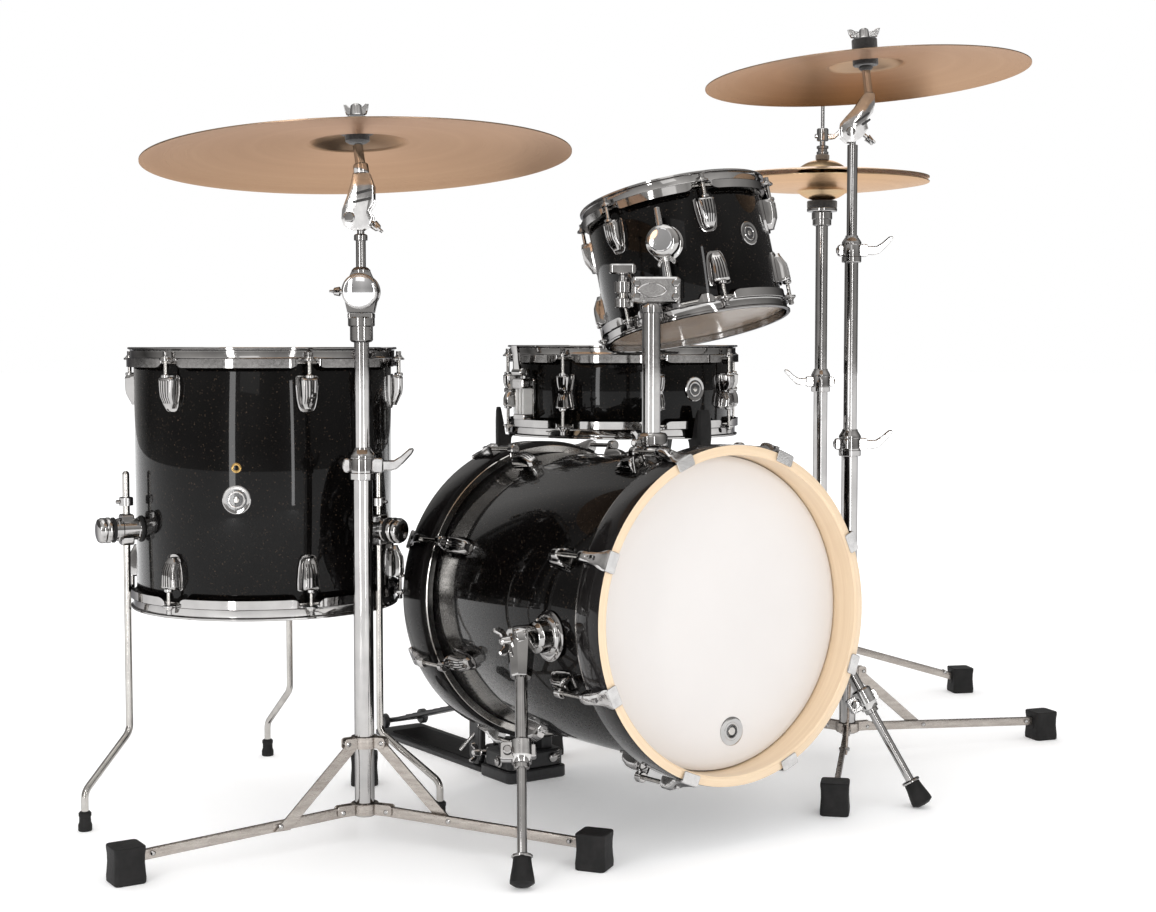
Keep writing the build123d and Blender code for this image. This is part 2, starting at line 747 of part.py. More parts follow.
# ---------------------------------------------------------------- hi-hat
HAT_PEDAL_ANGLE = 156.0
HAT_HEEL = 292.0
HAT_RIM = 938.0
HAT_OPEN = 8.0


def hihat():
    x, y = HIHAT
    way = polar((0, 0), HAT_PEDAL_ANGLE, 1)
    cross = Vector(0, 0, 1).cross(way)
    spot = Vector(x, y, 0)
    with BuildPart() as base:
        tripod(HIHAT, HIHAT_FEET, 106)
        rod((x, y, 96), (x, y, 588), TUBE_R, TUBE_R - 1.5)
        collar(HIHAT, 588, TUBE_R, HAT_TUBE_R, (-0.82, 0.57, 0))
        with BuildSketch(Plane(origin=spot + way * 148, x_dir=way, z_dir=(0, 0, 1))):
            RectangleRounded(330, 72, 8)
        extrude(amount=8)
        for side in (-1, 1):
            strut = spot + cross * (side * 26)
            with BuildSketch(Plane(origin=strut + Vector(0, 0, 8 + GAP), x_dir=way)):
                Rectangle(12, 8)
            extrude(amount=94 - 8 - 2 * GAP)
            heel = spot + way * HAT_HEEL + cross * (side * 29) + Vector(0, 0, 22)
            rod(heel - cross * 4, heel + cross * 4, 11, 4.05)
    save(base, "hihat_base")

    heel = spot + way * HAT_HEEL + Vector(0, 0, 22)
    toe = spot + way * 52 + Vector(0, 0, 62)
    tip = spot + Vector(0, 0, 70)
    with BuildPart() as pedal_board:
        rod(heel - cross * 33, heel + cross * 33, 4)
        flat(heel + (toe - heel).normalized() * 4, toe, 48, 6)
        flat(toe + (tip - toe).normalized() * GAP, tip, 20, 5)
        rod(tip + Vector(0, 0, 3), tip + Vector(0, 0, 20), 3)
    save(pedal_board, "hihat_pedal")

    bottom = Plane(origin=(x, y, HAT_RIM), x_dir=(1, 0, 0), z_dir=(0, 0, 1))
    top = bottom.offset(HAT_OPEN)
    seat = HAT_RIM - 14 - 17 - 1.5 - GAP
    with BuildPart() as tube:
        rod((x, y, 420), (x, y, seat - 24), HAT_TUBE_R, 7.5)
        rod((x, y, seat - 46), (x, y, seat - 20), 17, HAT_TUBE_R + GAP)
        rod((x, y, seat - 20 + GAP), (x, y, seat - 13), 27, 4.4)
        rod((x, y, seat - 13 + GAP), (x, y, seat), 27, 4.4)
    save(tube, "hihat_tube")

    with BuildPart() as pull:
        rod((x, y, 94), (x, y, 1090), 3.2)
        bell = HAT_RIM + HAT_OPEN + 14 + 18
        for low, high, radius in ((bell - 16, bell - 2.2, 11), (bell + 1, bell + 9, 16), (bell + 10, bell + 42, 9)):
            rod((x, y, low), (x, y, high), radius, 3.2 + GAP)
        wing((x - 8, y + 6, bell + 32), (-0.82, 0.57, 0), 9, 7)
    save(pull, "hihat_rod")

    cymbal("hihat_top_cymbal", top, HAT_R, 46, 14, 18, 5)
    cymbal("hihat_bottom_cymbal", bottom, HAT_R, 46, 14, 17, 5, way=-1)


# ---------------------------------------------------------------- cymbal stands
SIGHT = (0.572, 0.82, 0)
RIDE_PIVOT = Vector(RIDE[0], RIDE[1], 812)
RIDE_KNUCKLE = Vector(RIDE[0], RIDE[1], 713)
RIDE_AXIS = Vector(0.004, 0.081, 0.997)
CRASH_PIVOT = Vector(CRASH[0], CRASH[1], 981)
CRASH_AXIS = Vector(-0.03, 0.06, 0.998)


def ride_stand():
    x, y = RIDE
    with BuildPart() as base:
        tripod(RIDE, RIDE_FEET, 46, 133)
        rod((x, y, 36), (x, y, 500), TUBE_R, TUBE_R - 1.5)
        collar(RIDE, 500, TUBE_R, UPPER_R, (0.9, -0.45, 0))
    save(base, "ride_stand_base")

    with BuildPart() as tube:
        rod((x, y, 330), (x, y, 678), UPPER_R, 7.5)
        rod((x, y, 654), (x, y, 676), 13, UPPER_R + GAP)
        knuckle_fork(RIDE_KNUCKLE, SIGHT, 22, 685)
    save(tube, "ride_stand_tube")

    with BuildPart() as upper:
        knuckle_tongue(RIDE_KNUCKLE, SIGHT, 21, (x, y, 740))
        rod((x, y, 740 + GAP), (x, y, 786), ROD_R)
        knuckle_fork(RIDE_PIVOT, (1, 0, 0), 13, 792)
    save(upper, "ride_stand_rod")

    rim = Plane(origin=RIDE_PIVOT + RIDE_AXIS.normalized() * 69, x_dir=(1, 0, -0.004), z_dir=RIDE_AXIS)
    height = 46.0
    with BuildPart() as tilter:
        start = RIDE_PIVOT + RIDE_AXIS.normalized() * 34
        knuckle_tongue(RIDE_PIVOT, (1, 0, 0), 12, start)
        neck = rim.origin + rim.z_dir * (height - 28)
        rod(start + rim.z_dir * GAP, neck, ROD_R)
        rod(neck + rim.z_dir * 0.1, rim.origin + rim.z_dir * (height + 38), 4)
        cymbal_seat(rim, height, (22, 10.6), (15.5, 11.7), (21, 8), (36, 14))
    save(tilter, "ride_tilter")
    cymbal("ride_cymbal", rim, RIDE_R, 62, 22, 24, 5.5)


def crash_stand():
    x, y = CRASH
    with BuildPart() as base:
        tripod(CRASH, CRASH_FEET, 46, 133)
        rod((x, y, 36), (x, y, 500), TUBE_R, TUBE_R - 1.5)
        collar(CRASH, 500, TUBE_R, CRASH_TUBE_R, (0.9, -0.45, 0))
    save(base, "crash_stand_base")

    with BuildPart() as tube:
        rod((x, y, 330), (x, y, 800), CRASH_TUBE_R, CRASH_ROD_R + 0.6)
        collar(CRASH, 800, CRASH_TUBE_R, CRASH_ROD_R, (0.9, -0.45, 0))
    save(tube, "crash_stand_tube")

    with BuildPart() as upper:
        rod((x, y, 640), (x, y, 956), CRASH_ROD_R)
        knuckle_fork(CRASH_PIVOT, SIGHT, 13, 962)
    save(upper, "crash_stand_rod")

    axis = CRASH_AXIS.normalized()
    start = Vector(x + 19, y - 13, 1012)
    rim = Plane(origin=start + axis * 44, x_dir=(0.998, 0, 0.03), z_dir=CRASH_AXIS)
    height = 42.0
    with BuildPart() as tilter:
        knuckle_tongue(CRASH_PIVOT, SIGHT, 12, start)
        neck = rim.origin + rim.z_dir * (height - 32)
        rod(start + rim.z_dir * (6 + GAP), neck, ROD_R)
        rod(neck + rim.z_dir * 0.1, rim.origin + rim.z_dir * (height + 38), 4)
        cymbal_seat(rim, height, (19.5, 20), (11, 7), (19.5, 17), (50, 14))
    save(tilter, "crash_tilter")
    cymbal("crash_cymbal", rim, CRASH_R, 58, 20, 22, 5.5)


bass_drum()
bass_fittings()
pedal()
drum("tom", TOM, TOM_R, TOM_DEPTH, [AUDIENCE + 15 + 60 * k for k in range(6)], lips=(1,))
drum("floor_tom", FLOOR, FLOOR_R, FLOOR_DEPTH, [AUDIENCE - 32 + 60 * k for k in range(6)])
drum("snare", SNARE, SNARE_R, SNARE_DEPTH, [AUDIENCE + 15 + 45 * k for k in range(8)], lugs=False)
tom_mount()
floor_tom_legs()
snare_parts()
snare_stand()
hihat()
ride_stand()
crash_stand()
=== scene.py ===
import math

import bmesh
import bpy
from mathutils import Matrix, Vector

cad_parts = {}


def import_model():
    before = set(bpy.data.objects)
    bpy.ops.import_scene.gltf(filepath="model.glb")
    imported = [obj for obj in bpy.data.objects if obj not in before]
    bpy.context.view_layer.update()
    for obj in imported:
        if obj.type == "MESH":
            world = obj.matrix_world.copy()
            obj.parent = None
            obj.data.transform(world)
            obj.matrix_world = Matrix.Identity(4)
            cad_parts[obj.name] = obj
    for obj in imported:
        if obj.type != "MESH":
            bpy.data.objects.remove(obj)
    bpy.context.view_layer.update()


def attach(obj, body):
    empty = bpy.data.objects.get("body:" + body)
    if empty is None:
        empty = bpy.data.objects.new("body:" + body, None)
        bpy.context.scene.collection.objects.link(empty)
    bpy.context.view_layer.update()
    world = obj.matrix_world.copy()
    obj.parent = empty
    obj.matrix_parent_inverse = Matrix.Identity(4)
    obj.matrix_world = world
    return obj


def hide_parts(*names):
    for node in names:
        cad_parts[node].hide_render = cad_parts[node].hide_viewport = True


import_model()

# Layout millimetres, the same as the CAD's, are moved to the middle of the footprint and turned into metres.
MIDDLE = Vector((152.48, 474.55, 0))
TO_ROW = Matrix.Scale(0.001, 4) @ Matrix.Translation(-MIDDLE)
X, Y, UP = Vector((1, 0, 0)), Vector((0, 1, 0)), Vector((0, 0, 1))
SIGHT = Vector((0.572, 0.82, 0)).normalized()
ACROSS = Vector((0.82, -0.572, 0)).normalized()
DRUM_WALL = 7.0
CYMBAL_THICK = 1.5
ROD_OUT = 12.5
HOOP_R = 220


# ---------------------------------------------------------------- materials
class Nodes:
    """Short ways to add shader nodes to a tree and to feed their inputs."""

    def __init__(self, tree):
        self.tree = tree

    def node(self, kind, **values):
        made = self.tree.nodes.new("ShaderNode" + kind)
        for key, value in values.items():
            setattr(made, key, value)
        return made

    def feed(self, target, value):
        if isinstance(value, bpy.types.NodeSocket):
            self.tree.links.new(value, target)
        else:
            target.default_value = value

    def math(self, operation, *values):
        made = self.node("Math", operation=operation)
        for target, value in zip(made.inputs, values):
            self.feed(target, value)
        return made.outputs[0]

    def split(self, output):
        """The three parts of a texture coordinate."""
        made = self.node("SeparateXYZ")
        self.feed(made.inputs[0], self.node("TexCoord").outputs[output])
        return made.outputs

    def span(self, value, low, high, start=0.0, end=1.0, **values):
        made = self.node("MapRange", **values)
        for key, given in (
            ("Value", value), ("From Min", low), ("From Max", high), ("To Min", start), ("To Max", end),
        ):
            self.feed(made.inputs[key], given)
        return made.outputs["Result"]

    def mix(self, a, b, factor=1.0, blend="MULTIPLY"):
        made = self.node("Mix", data_type="RGBA", blend_type=blend)
        for key, value in (("Factor", factor), ("A", a), ("B", b)):
            self.feed(made.inputs[key], value)
        return made.outputs["Result"]

    def ramp(self, value, *stops):
        made = self.node("ValToRGB")
        items = made.color_ramp.elements
        while len(items) < len(stops):
            items.new(0.5)
        for item, (at, colour) in zip(items, stops):
            item.position = at
            item.color = (*colour, 1) if isinstance(colour, tuple) else (colour, colour, colour, 1)
        self.feed(made.inputs["Fac"], value)
        return made.outputs["Color"]


class Shade(Nodes):
    """A Principled material with procedural textures."""

    def __init__(self, name, **sockets):
        self.material = bpy.data.materials.new(name)
        self.material.use_nodes = True
        super().__init__(self.material.node_tree)
        self.shader = self.tree.nodes["Principled BSDF"]
        for key, value in sockets.items():
            self.set(key.replace("_", " "), value)

    def set(self, key, value):
        self.feed(self.shader.inputs[key], value)

    def coords(self, stretch=(1, 1, 1)):
        """Object coordinates in metres, stretched along the axes."""
        made = self.node("Mapping")
        made.inputs["Scale"].default_value = stretch
        self.feed(made.inputs["Vector"], self.node("TexCoord").outputs["Object"])
        return made.outputs["Vector"]

    def turned(self, radial, axial=0.0, around=0.0):
        """Coordinates about the piece's own Z axis: radius, height and angle."""
        x, y, z = self.split("Object")
        reach = self.math(
            "SQRT", self.math("ADD", self.math("MULTIPLY", x, x), self.math("MULTIPLY", y, y)),
        )
        made = self.node("CombineXYZ")
        for target, source, size in zip(
            made.inputs, (reach, z, self.math("ARCTAN2", y, x)), (radial, axial, around)
        ):
            self.feed(target, self.math("MULTIPLY", source, size))
        return made.outputs[0]

    def noise(self, vector, scale, detail=3.0, rough=0.55):
        made = self.node("TexNoise")
        for key, value in (("Scale", scale), ("Detail", detail), ("Roughness", rough), ("Vector", vector)):
            self.feed(made.inputs[key], value)
        return made.outputs["Fac"]

    def bump(self, height, strength, distance=0.001):
        made = self.node("Bump")
        for key, value in (("Strength", strength), ("Distance", distance), ("Height", height)):
            self.feed(made.inputs[key], value)
        self.set("Normal", made.outputs["Normal"])


def metal(name, low, high, rough_low, rough_high, grain=60.0, bump=0.03, stretch=(1, 1, 1)):
    """A plated metal whose colour and roughness drift a little."""
    made = Shade(name, Metallic=1.0, Specular_Tint=(0.22, 0.22, 0.23, 1))
    place = made.coords(stretch)
    made.set("Base Color", made.ramp(made.noise(place, grain), (0.3, low), (0.7, high)))
    fine = made.noise(place, grain * 6, 5)
    made.set("Roughness", made.ramp(fine, (0.25, rough_low), (0.75, rough_high)))
    made.bump(fine, bump, 0.0004)
    return made.material


def soft(name, low, high, roughness, grain, bump, distance=0.0006, **sockets):
    """Rubber, felt, paint or film: a mottled non-metal."""
    made = Shade(name, **sockets)
    place = made.coords()
    drift, fine = made.noise(place, grain, 4), made.noise(place, grain * 3, 6, 0.7)
    made.set("Base Color", made.ramp(drift, (0.3, low), (0.7, high)))
    made.set("Roughness", made.ramp(fine, (0.2, max(roughness - 0.08, 0.02)), (0.8, roughness + 0.08)))
    made.bump(fine, bump, distance)
    return made.material


def sparkle_wrap():
    made = Shade(
        "black_sparkle_wrap", Coat_Weight=1.0, Coat_Roughness=0.03, Coat_IOR=1.27, Specular_IOR_Level=0.03,
    )
    place = made.coords()
    cells = made.node("TexVoronoi")
    made.feed(cells.inputs["Scale"], 620.0)
    made.feed(cells.inputs["Vector"], place)
    shaded_grooves, flake = (0.0024, 0.0020, 0.0019), (0.055, 0.038, 0.026)
    cloud = made.ramp(made.noise(place, 26.0), (0.3, 0.55), (0.7, 1.0))
    made.set("Base Color", made.mix(made.ramp(cells.outputs["Color"], (0.84, shaded_grooves), (0.98, flake)), cloud))
    made.set("Roughness", made.ramp(made.noise(place, 300.0), (0.3, 0.22), (0.7, 0.34)))
    return made.material


def maple(name, light, shaded_grooves):
    """Bent maple: grain runs round the hoop, fine across it."""
    made = Shade(name, Coat_Weight=0.35, Coat_Roughness=0.2)
    grain = made.noise(made.turned(260.0, 200.0, 1.6), 1.0, 6, 0.6)
    made.set("Base Color", made.ramp(grain, (0.28, shaded_grooves), (0.66, light)))
    made.set("Roughness", made.ramp(grain, (0.3, 0.32), (0.7, 0.45)))
    made.bump(grain, 0.12, 0.0004)
    return made.material


def bronze(name, low, mid, high, shine):
    """Lathed cymbal bronze: fine rings about its axis, over broader bands."""
    made = Shade(name, Metallic=1.0, Anisotropic=0.55, Specular_Tint=(0.80, 0.64, 0.54, 1))
    rings = made.noise(made.turned(900.0), 1.0, 6, 0.75)
    bands = made.noise(made.turned(42.0), 1.0, 4, 0.6)
    blend = made.math("MULTIPLY_ADD", rings, 0.6, made.math("MULTIPLY", bands, 0.3))
    made.set("Base Color", made.ramp(blend, (0.32, low), (0.5, mid), (0.68, high)))
    made.set("Roughness", made.ramp(rings, (0.3, shine), (0.7, shine + 0.14)))
    made.bump(rings, 0.3, 0.0003)
    made.set("Tangent", made.node("Tangent", direction_type="RADIAL", axis="Z").outputs[0])
    return made.material


# Brightness of the room that polished metal sees: round the horizon from -X, and from the horizon up.
WALLS = (
    (0.0, 0.62), (0.09, 0.40), (0.15, 0.70), (0.21, 0.40), (0.34, 0.55), (0.46, 0.30), (0.56, 0.10),
    (0.66, 0.14), (0.74, 0.60), (0.84, 0.12), (0.90, 0.40), (1.0, 0.62),
)
CEILING = ((0.0, 0.75), (0.12, 0.62), (0.34, 0.85), (0.7, 1.25), (1.0, 1.5))
WRAP = sparkle_wrap()
GLOSS = soft(
    "black_lacquer", (0.006, 0.005, 0.005), (0.011, 0.010, 0.010), 0.3, 22, 0.02, Coat_Weight=1.0,
    Coat_Roughness=0.03, Coat_IOR=1.3, Specular_IOR_Level=0.03,
)
MAPLE = maple("maple_hoop", (0.80, 0.63, 0.44), (0.72, 0.54, 0.36))
MAPLE_SHELL = maple("maple_shell_inside", (0.50, 0.30, 0.15), (0.32, 0.17, 0.08))
HEAD = soft("coated_drumhead", (0.72, 0.695, 0.68), (0.74, 0.715, 0.70), 0.5, 9, 0.03, 0.0002)
CLEAR = soft("clear_drumhead", (0.62, 0.50, 0.40), (0.72, 0.62, 0.52), 0.18, 12, 0.02, 0.0002, Alpha=0.42)
CHROME = metal("chrome", (0.42, 0.41, 0.405), (0.52, 0.51, 0.50), 0.035, 0.09, 30, 0.015)
MIRROR = metal("mirror_chrome", (0.80, 0.80, 0.81), (0.90, 0.90, 0.91), 0.03, 0.06, 30, 0.01)
CAST = metal("cast_chrome", (0.52, 0.51, 0.505), (0.66, 0.65, 0.64), 0.07, 0.16, 90, 0.1)
NICKEL = metal("bright_nickel", (0.46, 0.44, 0.42), (0.60, 0.58, 0.55), 0.10, 0.2, 50, 0.03)
SATIN = metal("brushed_nickel", (0.38, 0.34, 0.31), (0.52, 0.48, 0.44), 0.22, 0.36, 40, 0.08, (1, 1, 5))
# Painted shade: a near-black stand-in for the shade in lug grooves, tilter slots and the tom clamp's recess.
SHADOW = soft("painted_recess_shade", (0.015, 0.015, 0.015), (0.04, 0.04, 0.04), 0.5, 80, 0.1)
RUBBER = soft(
    "black_rubber", (0.008, 0.008, 0.008), (0.017, 0.016, 0.016), 0.62, 55, 0.35, Specular_IOR_Level=0.25,
)
POWDER = soft("black_powder_coat", (0.010, 0.010, 0.011), (0.022, 0.022, 0.023), 0.42, 160, 0.25)
FELT_BLACK = soft(
    "black_felt", (0.012, 0.011, 0.011), (0.035, 0.033, 0.032), 0.9, 260, 0.8, 0.001, Sheen_Weight=0.4,
)
FELT_BROWN = soft(
    "brown_felt", (0.11, 0.085, 0.065), (0.20, 0.16, 0.12), 0.9, 260, 0.8, 0.001, Sheen_Weight=0.4,
)
FELT_WHITE = soft(
    "beater_felt", (0.62, 0.60, 0.56), (0.78, 0.76, 0.72), 0.9, 220, 0.8, 0.001, Sheen_Weight=0.4,
)
NYLON = soft("white_nylon", (0.66, 0.66, 0.65), (0.74, 0.74, 0.73), 0.4, 60, 0.05)
BRASS = metal("brass", (0.58, 0.36, 0.12), (0.74, 0.50, 0.20), 0.14, 0.24, 70, 0.05)
BADGE = soft("badge_enamel", (0.010, 0.010, 0.011), (0.03, 0.03, 0.032), 0.25, 90, 0.05, Coat_Weight=0.8)
BRONZE = bronze("lathed_bronze", (0.34, 0.225, 0.15), (0.43, 0.305, 0.21), (0.52, 0.385, 0.28), 0.24)
PALE_BRONZE = bronze("bright_bronze", (0.42, 0.29, 0.17), (0.60, 0.44, 0.27), (0.78, 0.61, 0.41), 0.2)


# ---------------------------------------------------------------- geometry
def show(name, data):
    made = bpy.data.objects.new(name, data)
    bpy.context.scene.collection.objects.link(made)
    return made


class Axis:
    """The frame of a drum or a cymbal: angles are turned about its axis."""

    def __init__(self, origin, z, x=(1, 0, 0)):
        self.o = Vector(origin)
        self.z = Vector(z).normalized()
        x = Vector(x)
        self.x = (x - self.z * x.dot(self.z)).normalized()
        self.y = self.z.cross(self.x)

    def out(self, angle):
        turn = math.radians(angle)
        return self.x * math.cos(turn) + self.y * math.sin(turn)

    def side(self, angle):
        return self.z.cross(self.out(angle))

    def at(self, angle, reach, height, across=0.0):
        return self.o + self.out(angle) * reach + self.z * height + self.side(angle) * across


def square_to(axis, hint=None):
    """Two directions square to an axis, the first near the hint."""
    z = Vector(axis).normalized()
    x = Vector(hint) if hint is not None else Vector((1, 0, 0))
    if abs(x.normalized().dot(z)) > 0.98:
        x = Vector((0, 1, 0))
    x = (x - z * x.dot(z)).normalized()
    return x, z.cross(x), z


def circle(seg):
    """Cosine and sine of evenly spaced turns."""
    return [(math.cos(t), math.sin(t)) for t in (math.tau * k / seg for k in range(seg))]


def arc(radius, start, sweep, steps, cx=0.0, cy=0.0):
    """Points on an arc, angles in degrees."""
    turns = (math.radians(start + sweep * k / steps) for k in range(steps + 1))
    return [(cx + radius * math.cos(t), cy + radius * math.sin(t)) for t in turns]


def rounded(wide, tall, radius, steps=4):
    """Outline of a rectangle with rounded corners."""
    a, b = wide / 2 - radius, tall / 2 - radius
    corners = ((a, b, 0), (radius - wide / 2, b, 90), (radius - wide / 2, radius - tall / 2, 180))
    points = []
    for cx, cy, start in (*corners, (a, radius - tall / 2, 270)):
        points += arc(radius, start, 90, steps, cx, cy)
    return points


def mirrored(half):
    """A half outline followed by its mirror image."""
    return half + [(-a, b) for a, b in reversed(half)]


def inset(outline, by):
    """The outline moved inwards."""
    n = len(outline)
    after = outline[1:] + outline[:1]
    area = sum(a[0] * b[1] - b[0] * a[1] for a, b in zip(outline, after))
    sign = 1 if area > 0 else -1
    moved = []
    for i in range(n):
        a = Vector(outline[i - 1]).to_2d()
        b = Vector(outline[i]).to_2d()
        c = Vector(outline[(i + 1) % n]).to_2d()
        one = (b - a).normalized()
        two = (c - b).normalized()
        normal = Vector((-(one.y + two.y), one.x + two.x)) * sign
        if normal.length < 1e-6:
            normal = Vector((-one.y, one.x)) * sign
        moved.append(b + normal.normalized() * by)
    return moved


class Kit:
    """Collects the faces of one piece, in layout millimetres."""

    def __init__(self):
        self.mesh = bmesh.new()
        self.used = []

    def index(self, material):
        if material not in self.used:
            self.used.append(material)
        return self.used.index(material)

    def face(self, corners, material):
        if len(set(corners)) < 3:
            return
        made = self.mesh.faces.get(corners) or self.mesh.faces.new(corners)
        made.material_index = self.index(material)

    def skin(self, rings, material, start=True, end=True, around=True, paint=None):
        """Joins rings of points with quads, and caps the first and the last."""
        rows = [[self.mesh.verts.new(p) for p in ring] for ring in rings]
        n = len(rows[0])
        for r, (a, b) in enumerate(zip(rows, rows[1:])):
            for i in range(n if around else n - 1):
                j = (i + 1) % n
                chosen = paint(r, i) if paint else None
                self.face([a[i], a[j], b[j], b[i]], chosen or material)
        if start:
            self.face(list(reversed(rows[0])), material)
        if end:
            self.face(rows[-1], material)
        return rows

    def lathe(self, origin, axis, outline, material=CHROME, seg=40, closed=False, paint=None):
        """Turns an outline of (radius, height) about an axis."""
        x, y, z = square_to(axis)
        origin = Vector(origin)
        rings = []
        for reach, height in outline + (outline[:1] if closed else []):
            rings.append([origin + z * height + (x * a + y * b) * reach for a, b in circle(seg)])
        ends = [not closed and outline[k][0] > 1e-6 for k in (0, -1)]
        self.skin(rings, material, ends[0], ends[1], paint=paint)

    def rod(self, a, b, radius, material=CHROME, seg=20, edge=0.5):
        """A round bar with eased ends."""
        a, b = Vector(a), Vector(b)
        long = (b - a).length
        edge = min(edge, long / 3, radius / 2)
        outline = [(radius - edge, 0), (radius, edge), (radius, long - edge), (radius - edge, long)]
        self.lathe(a, b - a, outline, material, seg)

    def tube(self, points, radius, material, seg=12):
        """A round bar swept along points; the radius may be a list."""
        points = [Vector(p) for p in points]
        radii = radius if isinstance(radius, list) else [radius] * len(points)
        x = None
        rings = []
        for i, p in enumerate(points):
            ahead = points[min(i + 1, len(points) - 1)] - points[max(i - 1, 0)]
            x, y, _ = square_to(ahead, x)
            rings.append([p + (x * a + y * b) * radii[i] for a, b in circle(seg)])
        self.skin(rings, material)

    def prism(self, origin, x, y, outline, depth, material, edge=0.8):
        """An outline in the x, y plane pushed along their cross product, with eased edges."""
        x, y = Vector(x).normalized(), Vector(y).normalized()
        z = x.cross(y)
        origin = Vector(origin)
        small = inset(outline, edge)
        edge = min(edge, depth / 3)
        rings = []
        for flat, height in ((small, 0), (outline, edge), (outline, depth - edge), (small, depth)):
            rings.append([origin + x * p[0] + y * p[1] + z * height for p in flat])
        self.skin(rings, material)

    def block(self, centre, x, y, size, material=CHROME, edge=1.0, radius=2.0):
        """A box about its centre, size along x, y and their cross product."""
        x, y = Vector(x).normalized(), Vector(y).normalized()
        start = Vector(centre) - x.cross(y) * size[2] / 2
        radius = min(radius, size[0] / 2.01, size[1] / 2.01)
        self.prism(start, x, y, rounded(size[0], size[1], radius), size[2], material, edge)

    def both(self, centre, half, radius, material=CHROME, seg=20, edge=0.5):
        """A round bar that reaches the same length both ways."""
        self.rod(Vector(centre) - half, Vector(centre) + half, radius, material, seg, edge)

    def ball(self, centre, radius, material, seg=24):
        steps = seg // 2
        turns = (math.pi * k / steps for k in range(steps + 1))
        outline = [(radius * math.sin(t), -radius * math.cos(t)) for t in turns]
        outline[0], outline[-1] = (0, -radius), (0, radius)
        self.lathe(centre, UP, outline, material, seg)

    def done(self, name, body, slot, *nodes, angle=35.0, origin=None, axis=None):
        """Makes the object, lets it ride on its body and stand for its CAD nodes."""
        bmesh.ops.remove_doubles(self.mesh, verts=self.mesh.verts, dist=0.004)
        bmesh.ops.recalc_face_normals(self.mesh, faces=self.mesh.faces)
        place = Matrix.Identity(4)
        if origin is not None:
            x, y, z = square_to(axis)
            place = Matrix((x, y, z)).transposed().to_4x4()
            place.translation = TO_ROW @ Vector(origin)
        self.mesh.transform(place.inverted() @ TO_ROW)
        data = bpy.data.meshes.new(name)
        self.mesh.to_mesh(data)
        self.mesh.free()
        for material in self.used:
            data.materials.append(material)
        data.shade_smooth()
        data.set_sharp_from_angle(angle=math.radians(angle))
        piece = show(name, data)
        piece.matrix_world = place
        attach(piece, body)
        if nodes:
            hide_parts(*nodes)
        return piece


# ---------------------------------------------------------------- shared details
def wing_screw(kit, base, axis, span, flat=UP, reach=8.0):
    """A screw with a butterfly grip: the wings spread along a direction square to its axis."""
    stem, hub, tall, thick = 3.2, 6.08, span * 0.42, span * 0.13
    x, _, z = square_to(axis, flat)
    base = Vector(base)
    kit.rod(base, base + z * reach, stem, CAST, 14)
    kit.lathe(
        base + z * reach * 0.55, z,
        [(hub * 0.9, 0), (hub, 1), (hub * 0.8, tall * 0.7), (hub * 0.5, tall * 0.8)], CAST, 16,
    )
    start = base + z * (reach * 0.55)
    wing = ((0.40, 0.28), (0.50, 0.72), (0.46, 1.12), (0.36, 1.18), (0.22, 0.72))
    outline = mirrored([(hub, 0.5)] + [(span * a, tall * b) for a, b in wing] + [(hub * 0.5, tall * 0.6)])
    outline = outline[-1:] + outline[:-1]
    kit.prism(start - x.cross(z) * thick / 2, x, z, outline, thick, CAST, thick * 0.28)


def fan_lug(kit, put, length, wide, tail, deep, tail_deep):
    """A cast lug with four upright ridges; put(across, along, out) places its points."""
    plate = []
    for share, half in (
        (-0.04, 0.50), (0.0, 0.62), (0.3, 0.62), (0.7, 0.56), (0.95, 0.47), (1.06, 0.36), (1.10, 0.20),
    ):
        side = wide * half
        lip = min(2.0, side * 0.4)
        section = mirrored([(-side, -1), (-side, 2.6), (-side + lip * 0.7, 2.8), (-side + lip, 1.4)])
        plate.append([put(a, share * length, b) for a, b in section])
    kit.skin(plate, CHROME)
    ridges = (-0.51, -0.17, 0.17, 0.51)
    columns = [
        (-1, None, False), (-1.0, 0.50, False), (-0.95, 0.80, False), (-0.84, 0.96, False),
        (-0.70, 1.0, False),
    ]
    for c in ridges:
        columns += [
            (c - 0.125, 1.0, True), (c - 0.09, 1.0, False), (c + 0.09, 1.0, False), (c + 0.125, 1.0, True),
        ]
    columns += [
        (0.70, 1.0, False), (0.84, 0.96, False), (0.95, 0.80, False), (1.0, 0.50, False), (1, None, False),
    ]
    shape = (
        (0.0, 0.72), (0.02, 0.86), (0.05, 0.95), (0.10, 1.0), (0.12, 1.0), (0.28, 1.0),
        (0.45, 0.99), (0.62, 0.96), (0.82, 0.90), (0.84, 0.88), (0.91, 0.78), (0.96, 0.62), (1.0, 0.36),
    )
    rows = []
    for along, fall in shape:
        narrow = along**1.5
        half = (wide + (tail - wide) * narrow) / 2 * (1 - 0.35 * max(along - 0.86, 0) / 0.14)
        height = deep * fall + (tail_deep - deep * fall) * max(along - 0.6, 0) / 0.4
        grooved = 0.11 < along < 0.83
        row = []
        for u, share, groove in columns:
            if share is None:
                row.append(put(half * u, along * length, -1.0))
                continue
            out = height * share * (1 - 0.12 * u * u)
            if groove and grooved:
                out -= 2.2
            row.append(put(half * u, along * length, out))
        rows.append(row)
    # The groove floors between and beside the ridges are painted dark: painted shade in the grooves.
    shaded_grooves = {4 + 4 * k for k in range(5)}

    def paint(r, i):
        return SHADOW if i in shaded_grooves and 4 <= r <= 8 else None

    kit.skin(rows, CHROME, paint=paint)


